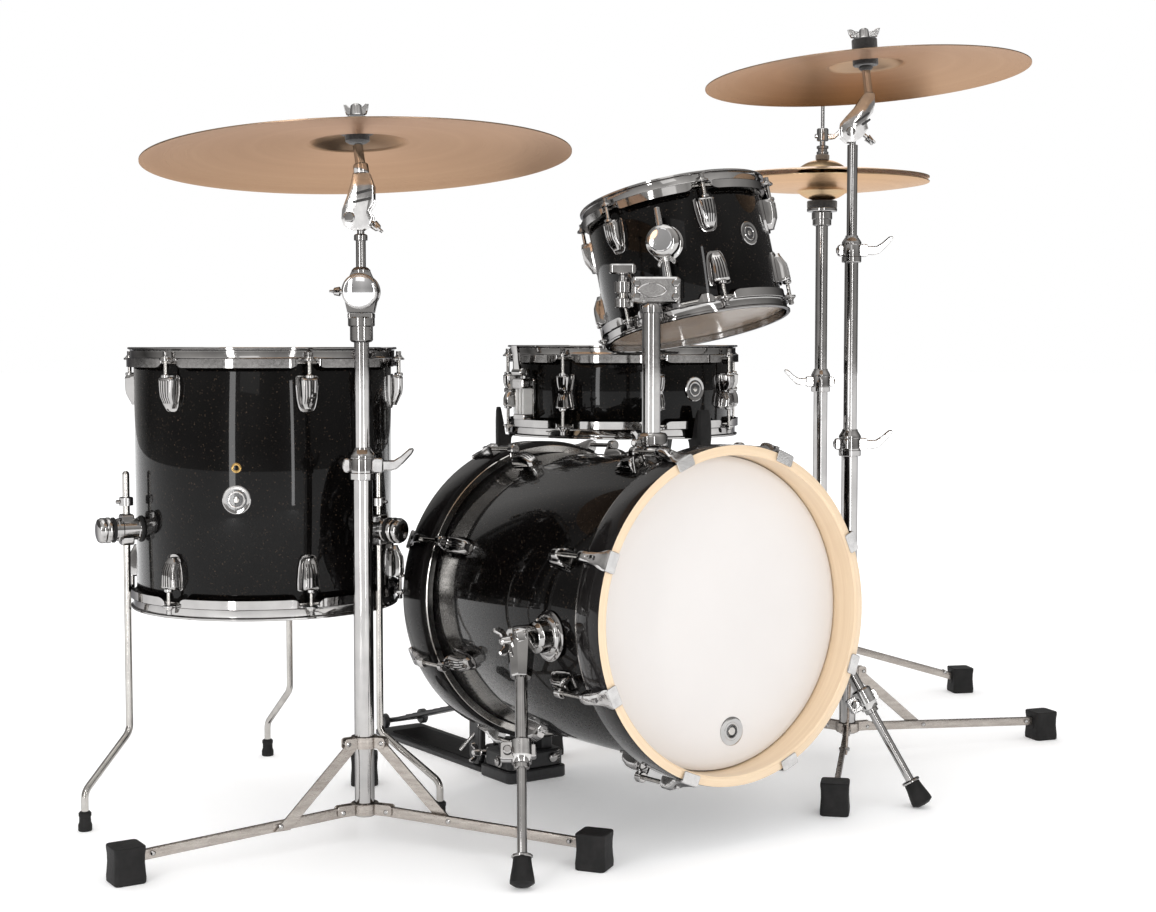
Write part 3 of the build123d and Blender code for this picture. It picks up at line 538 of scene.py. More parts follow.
def key_rod(kit, start, way, length):
    """A tension rod: washer, round flange and square head."""
    start = Vector(start)
    x, y, z = square_to(way)
    kit.lathe(start, z, [(6.2, 0), (6.2, 1.0), (5.0, 1.4)], NICKEL, 20)
    kit.lathe(start + z * 1.4, z, [(4.6, 0), (4.6, 1.4), (3.4, 2.0)], CHROME, 20)
    kit.prism(start + z * 3.2, x, y, rounded(5.8, 5.8, 0.8, 2), 5.8, CHROME, 0.5)
    kit.rod(start, start - z * length, 2.6, NICKEL, 12)


def flanged_hoop(kit, drum, radius, edge, way, lugs, bare=None):
    """A stamped hoop: turned edge, wall, ears at the lugs and a hanging lip between them.

    The lip is left out within 7 degrees of the bare angle.
    """
    near = [0, 2, 4, 5.5, 6.8, 7.6, 8.05, 8.6, 11, 12.6, 13, 13.8, 15, 17, 19.5, 23, 27]
    angles = set()
    for lug in lugs:
        for step in near:
            for sign in (-1, 1):
                angles.add(round((lug + sign * math.degrees(step / radius)) % 360, 4))
    for k in range(120):
        free = (k * 3.0) % 360
        gap = min(abs((free - lug + 180) % 360 - 180) for lug in lugs)
        if math.radians(gap) * radius > 28:
            angles.add(free)
    rings = []
    for angle in sorted(angles):
        gap = min(abs((angle - lug + 180) % 360 - 180) for lug in lugs)
        off = math.radians(gap) * radius
        hang = math.sqrt(1 - (1 - min(max((off - 12.6) / 11, 0), 1)) ** 2)
        if bare is not None and abs((angle - bare + 180) % 360 - 180) < 7:
            hang = 0.0
        if off < 8.02:
            flange = radius + ROD_OUT + math.sqrt(max(64 - off * off, 0))
        else:
            flange = radius + 7.0 + 2.6 * hang
        lip = 17.6 + 9.4 * hang
        profile = [
            (radius + 2.4, 18.0), (radius + 2.4, 0.7), (radius + 3.1, 0.0), (radius + 7.3, 0.0),
            (radius + 8.0, 0.8), (radius + 8.0, 2.6), (radius + 6.2, 3.4), (radius + 4.9, 4.6),
            (radius + 4.8, 12.6), (radius + 5.6, 14.2), (flange - 0.8, 14.8), (flange, 15.6),
            (flange, lip), (flange - 1.4, lip + 0.2), (flange - 1.7, 17.4), (radius + 4.0, 18.0),
        ]
        rings.append([drum.at(angle, r, edge - way * s) for r, s in profile])
    kit.skin(rings + rings[:1], CHROME, False, False)


def shell(name, body, drum, radius, low, high, seg=144):
    """An open drum shell with rounded bearing edges, wrapped outside."""
    thick = DRUM_WALL
    kit = Kit()
    outline = [
        (radius, low + 3), (radius, high - 3), (radius - 1.5, high - 0.6), (radius - 3, high),
        (radius - thick, high - 3.5), (radius - thick, low + 3.5), (radius - 3, low),
        (radius - 1.5, low + 0.6),
    ]
    kit.lathe(drum.o, drum.z, outline, WRAP, seg, True, lambda r, i: MAPLE_SHELL if 1 <= r <= 6 else None)
    kit.done(name + "_shell_wrap", body, "black_wrap", name + "_shell", origin=drum.o, axis=drum.z)


def heads(name, body, drum, radius, half, materials):
    """Two drum heads: film, rounded collar and flesh hoop."""
    kit = Kit()
    for way, material in ((1, materials[0]), (-1, materials[1])):
        top = half + 1.25
        film = [
            (0, top), (radius * 0.5, top), (radius - 14, top), (radius - 3, top - 0.1),
            (radius + 0.9, top - 0.9),
        ]
        film += [(radius + 1.6, top - 3), (radius + 1.6, top - 10)]
        back = [(radius + 0.6, top - 10), (radius + 0.6, top - 3), (radius - 3, top - 1.1), (0, top - 1.1)]
        kit.lathe(drum.o, drum.z * way, film + back, material, 96)
        rim = [(radius + 0.7, half - 8.8), (radius + 5.5, half - 8.8), (radius + 5.9, half - 9.4)]
        rim += [(radius + 5.9, half - 11.4), (radius + 5.2, half - 11.9), (radius + 0.7, half - 11.9)]
        kit.lathe(drum.o, drum.z * way, rim, NICKEL, 96, True)
    kit.done(name + "_films", body, "drumhead", name + "_heads")


def badge(kit, drum, angle, radius, height, size=19.0):
    """A plain round badge: silver rim, dark field, inner ring and centre rivet."""
    spot = drum.at(angle, radius, height)
    out = drum.out(angle)
    kit.lathe(spot, out, [(size, -1), (size, 0.6), (size - 1.2, 1.3), (size - 2.6, 1.0)])
    kit.lathe(spot, out, [(size - 2.6, 0.9), (size * 0.5, 1.2)], BADGE)
    kit.lathe(
        spot, out, [(size * 0.62, 1.1), (size * 0.58, 1.7), (size * 0.50, 1.7), (size * 0.46, 1.1)], CHROME,
        32,
    )
    kit.lathe(spot, out, [(size * 0.24, 0.8), (size * 0.2, 2.0), (0, 2.6)], NICKEL, 20)


def drum_set(name, body, drum, radius, depth, lugs, single=True, films=(HEAD, HEAD), bare=None):
    """Shell, heads, hoops, lugs and rods of one drum."""
    half = depth / 2
    shell(name, body, drum, radius, -half, half)
    heads(name, body, drum, radius, half, films)
    kit = Kit()
    for way in (-1, 1):
        flanged_hoop(kit, drum, radius, way * (half + 10), way, lugs, bare if way < 0 else None)
    kit.done(name + "_flanged_hoops", body, "chrome", name + "_hoops")

    kit = Kit()
    screws = Kit()
    gap, long, shape = (29, 42, (25, 18, 18.5, 10)) if single else (36, half - 34, (24, 15, 20, 14))
    for angle in lugs:
        for way in (-1, 1):

            def put(across, along, out, way=way, angle=angle):
                return drum.at(angle, radius + out, way * (half - gap - along), across)

            fan_lug(kit, put, long, *shape)
        if not single:
            kit.block(drum.at(angle, radius + 9, 0), drum.side(angle), drum.z, (14, 8, 18), CHROME, 1.4, 3)
        for way in (-1, 1):
            axis = drum.z * way
            nut = [(6.2, 0), (6.2, 3), (5.2, 4.2), (4.4, 4.4)]
            kit.lathe(drum.at(angle, radius + ROD_OUT, way * (half - gap - 1)), axis, nut, CHROME, 20)
            key_rod(screws, drum.at(angle, radius + ROD_OUT, way * (half - 4.6)), axis, gap - 4.6)
    kit.done(name + "_cast_lugs", body, "chrome", name + "_lugs")
    screws.done(name + "_key_rods", body, "chrome", name + "_rods")


# ---------------------------------------------------------------- drums
BASS_TILT = math.radians(1.9)
BASS_Z, POST_Y = 298, 185
SPUR_Y, SPUR_Z = 129, 274
BASS = Axis((0, 0, BASS_Z), (0, math.cos(BASS_TILT), -math.sin(BASS_TILT)), (-1, 0, 0))
TOM_AXIS = Vector((-0.065, 0.235, 0.97))
TOM = Axis((139, 289, 762), TOM_AXIS, (TOM_AXIS.z, 0, -TOM_AXIS.x))
FLOOR = Axis((-393, 567, 462), UP)
SNARE = Axis((253, 595, 573), UP)
BASS_R, TOM_R, FLOOR_R, SNARE_R = 203.2, 127.0, 177.8, 177.8
BASS_LONG, TOM_LONG, FLOOR_LONG, SNARE_LONG = 484.0, 178, 340, 124
AUDIENCE = 235.0

drum_set(
    "tom", "rack_tom", TOM, TOM_R, TOM_LONG, [AUDIENCE + 15 + 60 * k for k in range(6)],
    films=(HEAD, CLEAR), bare=229,
)
drum_set("floor_tom", "root", FLOOR, FLOOR_R, FLOOR_LONG, [AUDIENCE - 32 + 60 * k for k in range(6)])
drum_set(
    "snare", "snare_drum", SNARE, SNARE_R, SNARE_LONG, [AUDIENCE + 15 + 45 * k for k in range(8)],
    single=False,
)


def bass_side(from_top):
    """The bass drum's angle for a direction counted from its top towards -X."""
    return 90.0 - from_top


def bass_drum():
    shell("bass", "root", BASS, BASS_R, 41.5, BASS_LONG - 41.5, 192)
    for name, start, way in (("front", 0, 1), ("rear", BASS_LONG, -1)):
        kit = Kit()
        outline = [
            (206.5, 50), (206.5, 2.5), (209, 0.3), (217.2, 0.3), (219.2, 1.4), (HOOP_R, 4.2),
            (HOOP_R, 46), (218.5, 49.4), (216, 50),
        ]
        outline = [(r, start + way * h) for r, h in outline]
        kit.lathe(BASS.o, BASS.z, outline, MAPLE, 192, True, lambda r, i: GLOSS if r >= 4 else None)
        kit.done(f"bass_{name}_wood_hoop", "root", "maple", f"bass_{name}_hoop", origin=BASS.o, axis=BASS.z)

    kit = Kit()
    for start, way in ((0, 1), (BASS_LONG, -1)):
        film = [(0, 40), (120, 40), (196, 40.1), (202, 40.6), (204.6, 42.5), (205, 46), (205, 50)]
        film += [(204, 50), (203.9, 46), (202, 42), (196, 41), (0, 41)]
        kit.lathe(BASS.o, BASS.z, [(r, start + way * h) for r, h in film], HEAD, 160)
        rim = [(204.2, 50.4), (213.2, 50.4), (214, 51.2), (214, 58.4), (213.2, 59.2), (204.2, 59.2)]
        kit.lathe(BASS.o, BASS.z, [(r, start + way * h) for r, h in rim], NICKEL, 160, True)
    kit.done("bass_films", "root", "drumhead", "bass_heads")

    lugs, claws, screws = Kit(), Kit(), Kit()
    rod_r = 229.0
    for start, way in ((0, 1), (BASS_LONG, -1)):
        for k in range(8):
            angle = bass_side(22.5 + 45 * k)
            side, out = BASS.side(angle), BASS.out(angle)
            inward = BASS.z * way

            def spot(reach, along, across=0.0, angle=angle, start=start, way=way):
                return BASS.at(angle, reach, start + way * along, across)

            fan_lug(lugs, lambda a, v, o: spot(BASS_R + o, 99 + v, a), 42, 25, 18, 19.5, 10)
            for at in (-9.5, 9.5):
                lugs.tube(
                    [
                        spot(BASS_R + 1, 97, at), spot(BASS_R + 17, 95, at * 0.8),
                        spot(rod_r + 2, 94, at * 0.4),
                    ],
                    1.4, CHROME, 8,
                )
            lugs.rod(spot(rod_r, 91), spot(rod_r, 103), 7.5, CHROME, 24, 1.5)
            # Hook plate over the hoop's edge, an arm that rises from it, and the boss that takes the rod.
            claws.block(spot(215.5, -1.9), side, out, (27, 15, 2.6), CAST, 0.6, 2.5)
            rows = []
            for along, low, high, wide in (
                (-2.4, 0.4, 2.0, 25), (-1.2, 0.4, 3.6, 27), (2, 0.4, 4.6, 27), (9, 0.4, 5.4, 24),
                (18, 0.4, 8.5, 18), (27, 0.4, 13.0, 15), (36, 0.4, 16.0, 14.5), (45, 0.4, 16.0, 14),
                (47.6, 1.0, 14.5, 12.5),
            ):
                low, high = HOOP_R + low, HOOP_R + high
                half = wide / 2
                rise = high - low
                rows.append(
                    [
                        spot(low, along, -half), spot(low + rise * 0.6, along, -half),
                        spot(low + rise * 0.9, along, -half * 0.82), spot(high, along, -half * 0.45),
                        spot(high, along, half * 0.45), spot(low + rise * 0.9, along, half * 0.82),
                        spot(low + rise * 0.6, along, half), spot(low, along, half),
                    ]
                )
            claws.skin(rows, CAST)
            x, y, z = square_to(-inward, side)
            screws.lathe(spot(rod_r, 31), z, [(5.6, -8), (5.6, 0), (4.6, 1.2), (4.2, 5)], CHROME, 20)
            screws.prism(spot(rod_r, 26), x, y, rounded(6, 6, 0.8, 2), 8, CHROME, 0.5)
            screws.rod(spot(rod_r, 46), spot(rod_r, 96), 3.0, NICKEL, 14)
    lugs.done("bass_cast_lugs", "root", "chrome", "bass_lugs")
    claws.done("bass_hook_claws", "root", "chrome", "bass_claws")
    screws.done("bass_key_rods", "root", "chrome", "bass_tension_rods")

    kit = Kit()
    spot = BASS.at(-97.0, 158.0, 39.9)
    for outline, material in (
        ([(19, 0), (19, 0.5), (17.6, 0.8)], CHROME),
        ([(17.6, 0.6), (9, 0.8)], BADGE),
        ([(12.5, 0.6), (12, 1.1), (9.6, 1.1), (9, 0.6)], CHROME),
        ([(5.5, 0.5), (5, 1.2), (0, 1.3)], NICKEL),
    ):
        kit.lathe(spot, -BASS.z, outline, material)
    kit.done("bass_round_badge", "root", "chrome")


def spurs():
    kit = Kit()
    top = BASS_Z + BASS_R - POST_Y * math.tan(BASS_TILT)
    for sign in (-1, 1):
        out = X * sign
        plate = Vector((sign * (BASS_R + 0.5), SPUR_Y, SPUR_Z))
        dish = [(32, 0), (33, 1.2), (33, 2.4), (30, 4.2), (26, 4.6), (24.5, 7.6), (22, 9.0), (20, 9.2)]
        kit.lathe(plate, out, dish, CHROME, 64)
        kit.lathe(plate + out * 9, out, [(19, 0), (20.5, 1), (20.5, 13), (18.6, 14.6), (17, 20.6)])
        kit.lathe(
            plate + out * 16, out, [(18.2, 0), (18.2, 2), (16.8, 3), (16.8, 4), (17.6, 5), (17.6, 9.2)],
        )
        for turn in (40, 140, 220, 320):
            t = math.radians(turn)
            kit.lathe(
                plate + Vector((0, math.cos(t) * 28.5, math.sin(t) * 28.5)), out,
                [(2.4, 0), (2.4, 5.2), (1.5, 6.2), (0, 6.4)], NICKEL, 12,
            )
    spot = Vector((0, POST_Y, top))
    kit.lathe(
        spot - UP * 3, UP,
        [(35, 0), (36, 2), (36, 5.4), (34, 7.6), (29, 8.6), (25, 12), (23.5, 14.5), (20, 15)], CHROME, 72,
    )
    kit.lathe(
        spot + UP * 12, UP, [(20, 0), (22.5, 2), (22.5, 14), (21.5, 16.4), (19.6, 18.6), (13.6, 19.4)],
        CHROME, 56,
    )
    way = Vector((-1, -0.4, 0)).normalized()
    kit.block(spot + way * 23 + UP * 19, way, UP, (16, 16, 13), CHROME, 1.2, 3)
    wing_screw(kit, spot + way * 30 + UP * 19, way, 34)
    kit.done("bass_mount_plates", "root", "chrome", "bass_shell_brackets")

    for name, sign in (("left", -1), ("right", 1)):
        out = X * sign
        pivot = Vector((sign * 248, SPUR_Y, SPUR_Z))
        foot = Vector((sign * 336, -8, 0))
        way = (foot - pivot).normalized()
        kit = Kit()
        kit.lathe(
            pivot - out * 18.4, out, [(17.4, 0), (17.4, 24), (16.2, 28), (15.2, 32), (12, 32.6)], CHROME,
            48,
        )
        kit.lathe(
            pivot - way * 8, way, [(14, 0), (17.6, 4), (17.8, 24), (14, 58), (12.6, 60), (8, 60)], CHROME,
            8,
        )
        kit.rod(pivot + way * 16, pivot + way * 158, 8, CHROME, 32)
        clamp = pivot + way * 140
        kit.lathe(
            clamp - way * 8, way,
            [(8.4, 0), (12.4, 0.6), (14.6, 3), (14.6, 22), (13, 24), (12, 31), (8, 31.6)], CAST, 36,
        )
        kit.lathe(clamp + way * 23.6, way, [(9.6, 0), (9.6, 5), (7.4, 6)], CHROME, 28)
        x, y, _ = square_to(way, -ACROSS)
        for turn in (-1, 1):
            kit.block(clamp + way * 8 + x * 15 + y * (turn * 4.8), x, way, (22, 22, 7.4), CAST, 1, 3)
        kit.block(clamp + way * 8 - x * 13, x, way, (10, 16, 14), CAST, 1, 2.4)
        kit.lathe(
            clamp + way * 8 + x * 17 - y * 8, -y, [(5.6, 0), (5.6, 4), (4.2, 5.4), (0, 5.6)], CHROME, 20,
        )
        wing_screw(kit, pivot + out * 13.4, out, 38, way, 9)
        kit.done(f"spur_{name}_sleeve", f"spur_{name}_upper", "chrome", f"spur_{name}_tube")

        kit = Kit()
        kit.rod(pivot + way * 85, foot - way * 38, 6, CHROME, 28)
        kit.lathe(
            foot - way * 44, way, [(6.2, 0), (12, 0.6), (13, 1.6), (13, 3.6), (12, 4.4), (6.2, 4.6)],
            CHROME, 36,
        )
        tip = [
            (6, -39.6), (10.2, -39.6), (11, -38.4), (12, -30), (14.4, -17), (15, -12), (15, -9.2),
            (13, -7.8), (9, -5.5), (0, -5.3),
        ]
        kit.lathe(foot, way, tip, RUBBER)
        kit.done(f"spur_{name}_rod", f"spur_{name}_lower", "chrome", f"spur_{name}_leg")


def tom_mount():
    post = Vector((0, POST_Y, 0))
    low, high = Vector((31, 176, 702)), Vector((23, 204, 832))
    way = (high - low).normalized()
    kit = Kit()
    kit.rod(post + UP * 300, post + UP * 700.5, 12.7, CHROME, 48)
    kit.lathe(post + UP * 688, UP, [(13, 0), (15.5, 1), (15.5, 10), (14.5, 12.4)])
    middle = post + ACROSS * 6 + SIGHT * 5 + UP * (700.75 + 18)
    kit.block(middle, ACROSS, SIGHT, (68, 38, 35.5), CAST, 2.4, 8)
    # Raised bead round an almond recess on the front, with two bolts on either side.
    front = middle - SIGHT * 19
    almond = []
    for k in range(28):
        t = math.tau * k / 28
        almond.append((math.cos(t) * 19, math.sin(t) * 9.5 * (0.55 + 0.45 * abs(math.sin(t)))))
    ring = [front - SIGHT * 0.2 + ACROSS * (a - 6) + UP * b for a, b in almond]
    kit.tube(ring + ring[:2], 1.3, CAST, 8)
    # The dark almond inside the bead is painted shade standing in for the recess.
    kit.prism(front + SIGHT * 0.4 + ACROSS * -6, ACROSS, UP, almond, -0.9, SHADOW, 0.3)
    bolt = [(5.5, -1), (5.5, 1.6), (4.4, 2.6), (0, 2.8)]
    for side, rise in ((-26, 9), (-26, -9), (26, 9), (26, -9)):
        kit.lathe(front + ACROSS * side + UP * rise, -SIGHT, bolt, CHROME, 6)
    kit.block(front - UP * 12 + ACROSS * -24, ACROSS, UP, (16, 9, 5), CAST)
    screw = post - ACROSS * 39
    kit.lathe(screw + UP * 695, UP, [(10.5, 0), (11.5, 1), (11.5, 12), (10.4, 13)], CHROME, 36)
    kit.lathe(screw + UP * 708, UP, [(5, 0), (5, 7)], NICKEL, 20)
    kit.lathe(screw + UP * 715, UP, [(10.4, 0), (11.5, 1), (11.5, 15), (10.4, 16)], CHROME, 36)
    kit.lathe(screw + UP * 731, UP, [(4, 0), (4, 8), (6.5, 9.2), (6.5, 12)], CHROME, 20)
    kit.block(screw + UP * 747.5, ACROSS, SIGHT, (38, 14, 13.5), CHROME, 2, 6.5)
    kit.block(screw + ACROSS * 6 + UP * 701, ACROSS, SIGHT, (18, 12, 10), CAST, 1, 3)
    kit.done("tom_clamp", "tom_support", "chrome", "tom_post")

    kit = Kit()
    kit.rod(low, high, 4.75, CHROME, 24)
    kit.ball(low + way * 86, 13.0, CHROME, 32)
    kit.done("tom_arm_rod", "tom_support", "chrome", "tom_arm")

    ball = low + way * 86
    inward = TOM.o - ball
    inward = (inward - TOM.z * inward.dot(TOM.z)).normalized()
    reach = (TOM.o - ball).dot(inward)
    seat = ball + inward * (reach - TOM_R + 1.0)
    kit = Kit()
    kit.lathe(seat, -inward, [(24, 0), (25, 1.5), (25, 4), (22, 6.4), (19, 7)], CHROME, 56)
    long = (seat - ball).dot(inward)
    kit.lathe(
        seat, -inward, [(18, 6), (18, long - 12), (17.4, long - 9.6), (14, long - 8.2), (11.2, long - 8.4)],
        CHROME, 48,
    )
    kit.lathe(
        ball, -inward, [(12.9, -8), (21.5, -7), (23.4, -5), (23.4, 3), (22, 5.4), (17, 8.4), (13.4, 9.4)],
        CHROME, 56,
    )
    kit.lathe(ball, -inward, [(14.5, 9.4), (16, 10.6), (16, 14.2), (14.8, 15.6), (0, 16.2)], MIRROR, 48)
    wing_screw(kit, ball - TOM.z * 17, -TOM.z, 26, TOM.z.cross(inward))
    badge(kit, TOM, AUDIENCE + 45, TOM_R, 8, 17)
    kit.done("tom_ball_bracket", "rack_tom", "chrome", "tom_bracket")


# ---------------------------------------------------------------- floor tom legs
LEGS = (("left", 175.0, 30.0), ("right", 295.0, 17.0), ("rear", 55.0, 34.0))


def polar(centre, angle, reach, z=0.0):
    turn = math.radians(angle)
    return Vector((centre[0] + reach * math.cos(turn), centre[1] + reach * math.sin(turn), z))


def eased(points, radius, steps=7):
    """The points with each corner rounded by an arc of that radius."""
    points = [Vector(p) for p in points]
    route = [points[0]]
    for a, b, c in zip(points, points[1:], points[2:]):
        back, ahead = (a - b).normalized(), (c - b).normalized()
        half = back.angle(ahead) / 2
        cut = radius / math.tan(half)
        middle = b + (back + ahead).normalized() * (radius / math.sin(half))
        one, two = b + back * cut - middle, b + ahead * cut - middle
        for k in range(steps + 1):
            share = k / steps
            route.append(middle + one.lerp(two, share).normalized() * radius)
    return route + [points[-1]]


def floor_tom_legs():
    kit = Kit()
    clamp_z = 395.0
    for _, angle, _ in LEGS:
        out = FLOOR.out(angle)
        base = polar(FLOOR.o, angle, FLOOR_R - 1, clamp_z)
        kit.lathe(base, out, [(18, 0), (18, 2.5), (16.5, 4)], RUBBER)
        kit.lathe(
            base, out,
            [
                (15.6, 3), (15.6, 6), (14.6, 7), (14.6, 27), (15.8, 28.4), (15.8, 33), (14.8, 34.4),
                (14.8, 40), (13, 42),
            ],
            CHROME, 44,
        )
        grip = base + out * 43
        kit.lathe(
            grip, out,
            [
                (15.2, 0), (17.4, 1.4), (17.6, 5), (16.6, 7), (17.2, 8.4), (17.2, 13), (15.4, 16.5),
                (12, 18), (0, 18.4),
            ],
            CHROME, 44,
        )
        kit.lathe(base + out * 37.4, out, [(16.4, 0), (17.2, 0.8), (17.2, 3), (16.4, 3.8)], RUBBER)
        kit.block(
            polar(FLOOR.o, angle, FLOOR_R + 20, clamp_z), FLOOR.side(angle), UP,
            (19, 42, 17), CHROME, 1.6, 4,
        )
    badge(kit, FLOOR, AUDIENCE - 2, FLOOR_R, -20, 19)
    vent = FLOOR.at(AUDIENCE - 2, FLOOR_R - 1, 22)
    kit.lathe(
        vent, FLOOR.out(AUDIENCE - 2), [(6.4, 0), (6.6, 1.2), (5, 2.2), (3.6, 1.6), (3, 0.2), (0, -0.4)],
        BRASS, 28,
    )
    kit.done("floor_tom_leg_clamps", "root", "chrome", "floor_tom_leg_brackets")

    for name, angle, twist in LEGS:
        top = polar(FLOOR.o, angle, FLOOR_R + 20, 470)
        knee = Vector((top.x, top.y, 0))
        foot = knee + polar((0, 0), angle + twist, 85)
        tip = 26.0
        kit = Kit()
        kit.tube(eased([top, knee + UP * 118, foot + UP * 52, foot + UP * (tip - 4)], 20), 4.75, NICKEL, 18)
        kit.ball(top, 4.75, NICKEL, 18)
        kit.lathe(
            foot, UP,
            [
                (8.4, 0), (9.2, 1.2), (9.2, 8), (7.8, 12), (7.6, 19), (8.4, 20), (8.4, 24), (6.6, tip),
                (4.9, tip),
            ],
            RUBBER, 28,
        )
        stop = knee + UP * (clamp_z + 32)
        kit.lathe(stop, UP, [(5, 0), (9.4, 0.8), (9.4, 11), (8.4, 12), (5, 12.4)], CHROME, 28)
        kit.rod(stop + UP * 6, stop + UP * 6 + FLOOR.out(angle) * 14, 2.6, CHROME, 12)
        kit.done(f"floor_tom_leg_{name}_rod", f"leg_{name}", "chrome", f"floor_tom_leg_{name}")


# ---------------------------------------------------------------- snare drum parts
def snare_parts():
    kit = Kit()
    angle = 180.0
    out, side = SNARE.out(angle), SNARE.side(angle)
    kit.block(SNARE.at(angle, SNARE_R + 3, -12), side, UP, (30, 66, 6), CHROME, 1.4, 5)
    for across in (-9, 0, 9):
        kit.block(SNARE.at(angle, SNARE_R + 13, -16, across), side, UP, (5, 52, 18), NYLON, 1.2)
    kit.block(SNARE.at(angle, SNARE_R + 15, 12), side, UP, (30, 16, 22), CHROME, 1.6, 4)
    kit.block(SNARE.at(angle, SNARE_R + 14, -40), side, UP, (30, 9, 20), CHROME, 1.4, 3)
    knob = SNARE.at(angle, SNARE_R + 13, 20)
    kit.lathe(knob, UP, [(4, 0), (4, 4), (8.6, 5), (9, 7), (9, 13), (8, 14.6), (0, 15)], CHROME, 28)
    butt = 2.5
    kit.block(SNARE.at(butt, SNARE_R + 3, -30), SNARE.side(butt), UP, (36, 32, 6), CHROME, 1.2, 5)
    kit.block(SNARE.at(butt, SNARE_R + 10, -32), SNARE.side(butt), UP, (30, 20, 12), CHROME, 1.4, 4)
    for across in (-9, 9):
        kit.lathe(
            SNARE.at(butt, SNARE_R + 15, -32, across), SNARE.out(butt),
            [(3.4, 0), (3.4, 1.6), (2.2, 2.6), (0, 2.8)], NICKEL, 16,
        )
    badge(kit, SNARE, AUDIENCE + 37.5, SNARE_R, 4, 19)
    kit.done("snare_throw_off_body", "snare_drum", "chrome", "snare_strainer")

    kit = Kit()
    pivot = SNARE.at(angle, SNARE_R + 23, 30)
    kit.both(pivot, side * 13, 6, CHROME, 24, 1)
    section = ((-1, -0.5), (-1, 0.5), (-0.8, 1), (0.8, 1), (1, 0.5), (1, -0.5), (0.8, -1), (-0.8, -1))
    rows = []
    for rise, lean, wide, thick in (
        (4, 1, 18, 6), (14, 2.5, 16, 5), (26, 4.5, 17, 4.6), (36, 6.4, 20, 5), (41, 7.4, 18, 3.6),
    ):
        spot = pivot + UP * rise + out * lean
        rows.append([spot + side * (wide / 2 * a) + out * (thick / 2 * b) for a, b in section])
    kit.skin(rows, CHROME)
    kit.done("snare_throw_off_lever", "strainer_lever", "chrome", "snare_strainer_lever")

    kit = Kit()
    low, coil = -SNARE_LONG / 2 - 1.5, 0.85
    for k in range(20):
        across = -28.5 + 3 * k
        points = []
        for step in range(181):
            turn = step * math.pi / 3.0
            level, lift = coil * math.cos(turn), coil * math.sin(turn)
            points.append(SNARE.o + Vector((-134 + 268 * step / 180, across + level, low - 1.15 + lift)))
        kit.tube(points, 0.3, NICKEL, 4)
    for end in (-1, 1):
        kit.block(SNARE.o + Vector((end * 142, 0, low - 1.1)), X, Y, (16, 62, 1.4), NICKEL, 0.3)
    kit.done("snare_coils", "snare_drum", "snare_wire", "snare_wires")


# ---------------------------------------------------------------- stands
TUBE_R, MID_R, ROD_R = 12.7, 9.5, 6.35
HAT_TUBE_R, CRASH_TUBE_R, CRASH_ROD_R = 10.9, 10.5, 8.0


def rubber_foot(kit, spot, way):
    """A waisted rubber block that the leg's end plugs into."""
    x, y, z = square_to(UP, way)
    rows = []
    for height, size, corner in (
        (0, 36.5, 5), (1.2, 39.6, 6), (8, 40, 6), (15, 38.8, 6), (25, 37.6, 6), (35, 38, 6),
        (41, 39.4, 6), (44.8, 39.4, 6), (46, 37.4, 5),
    ):
        rows.append([spot + x * a + y * b + z * height for a, b in rounded(size, size, corner, 5)])
    kit.skin(rows, RUBBER)
    kit.block(spot - x * 19.2 + z * 27, y, z, (15, 20, 1.8), RUBBER, 0.5, 3)


def bar(kit, a, b, wide, thick, material, edge=1.2):
    """A flat bar with eased edges between two points, its width level."""
    run = b - a
    level = UP.cross(run).normalized()
    tall = run.cross(level).normalized()
    kit.prism(
        a, level, tall, rounded(wide, thick, edge, 3),
        run.length * (1 if level.cross(tall).dot(run) > 0 else -1), material, 0.4,
    )


def tripod(kit, spot, feet, hub_z, brace_z):
    """Stamped bands with riveted tabs, three flat legs, braces on edge beside them, and rubber feet."""
    reach, angles = feet
    middle = Vector((*spot, 0))
    band = [(13.1, 0), (17.2, 0), (18, 0.8), (18, 13.7), (17.2, 14.5), (13.1, 14.5)]
    kit.lathe(middle + UP * (hub_z - 7.25), UP, band, SATIN, 40, True)
    if brace_z:
        kit.lathe(middle + UP * (brace_z - 7.25), UP, [(min(r, 17), h) for r, h in band], SATIN, 40, True)
    toe_z, joint = 30.0, 0.36
    for angle in angles:
        way = polar((0, 0), angle, 1)
        side = UP.cross(way)
        fall = (toe_z - hub_z) / reach
        bar(
            kit, polar(spot, angle, 22, hub_z + fall * 22), polar(spot, angle, reach - 19, toe_z), 7, 13,
            SATIN,
        )
        for across in (-1, 1):
            kit.block(
                polar(spot, angle, 27, hub_z) + side * (across * 4.7), way, UP, (28, 14.5, 2.2), SATIN, 0.4,
                4,
            )
        for at in (33, reach - 32):
            rivet = polar(spot, angle, at, hub_z + fall * at)
            kit.both(rivet, side * 7.2, 3.2, CHROME, 16, 1.4)
        rubber_foot(kit, polar(spot, angle, reach), way)
        if brace_z:
            end = reach * joint
            leg_z = hub_z + fall * end
            run = Vector((end - 20, leg_z - brace_z)).normalized()
            across = Vector((-run.y, run.x)) * 7.5
            start = Vector((18, brace_z - 1))
            low, high = start - across, start + across
            floor_z = leg_z - 6.5
            outline = [
                high, low,
                low + run * ((floor_z - low.y) / run.y), high + run * ((floor_z - high.y) / run.y),
            ]
            kit.prism(middle + side * 6.6, way, UP, outline, 3, SATIN, 0.5)
            for at in (-1, 1):
                kit.block(
                    polar(spot, angle, 22, brace_z) + side * (at * 5.6 + 2), way, UP, (18, 14.5, 2), SATIN,
                    0.4, 4,
                )
            for rivet in (polar(spot, angle, 26, brace_z), polar(spot, angle, end + 6, leg_z)):
                kit.rod(rivet - side * 6, rivet + side * 10, 3.2, CHROME, 16, 1.4)


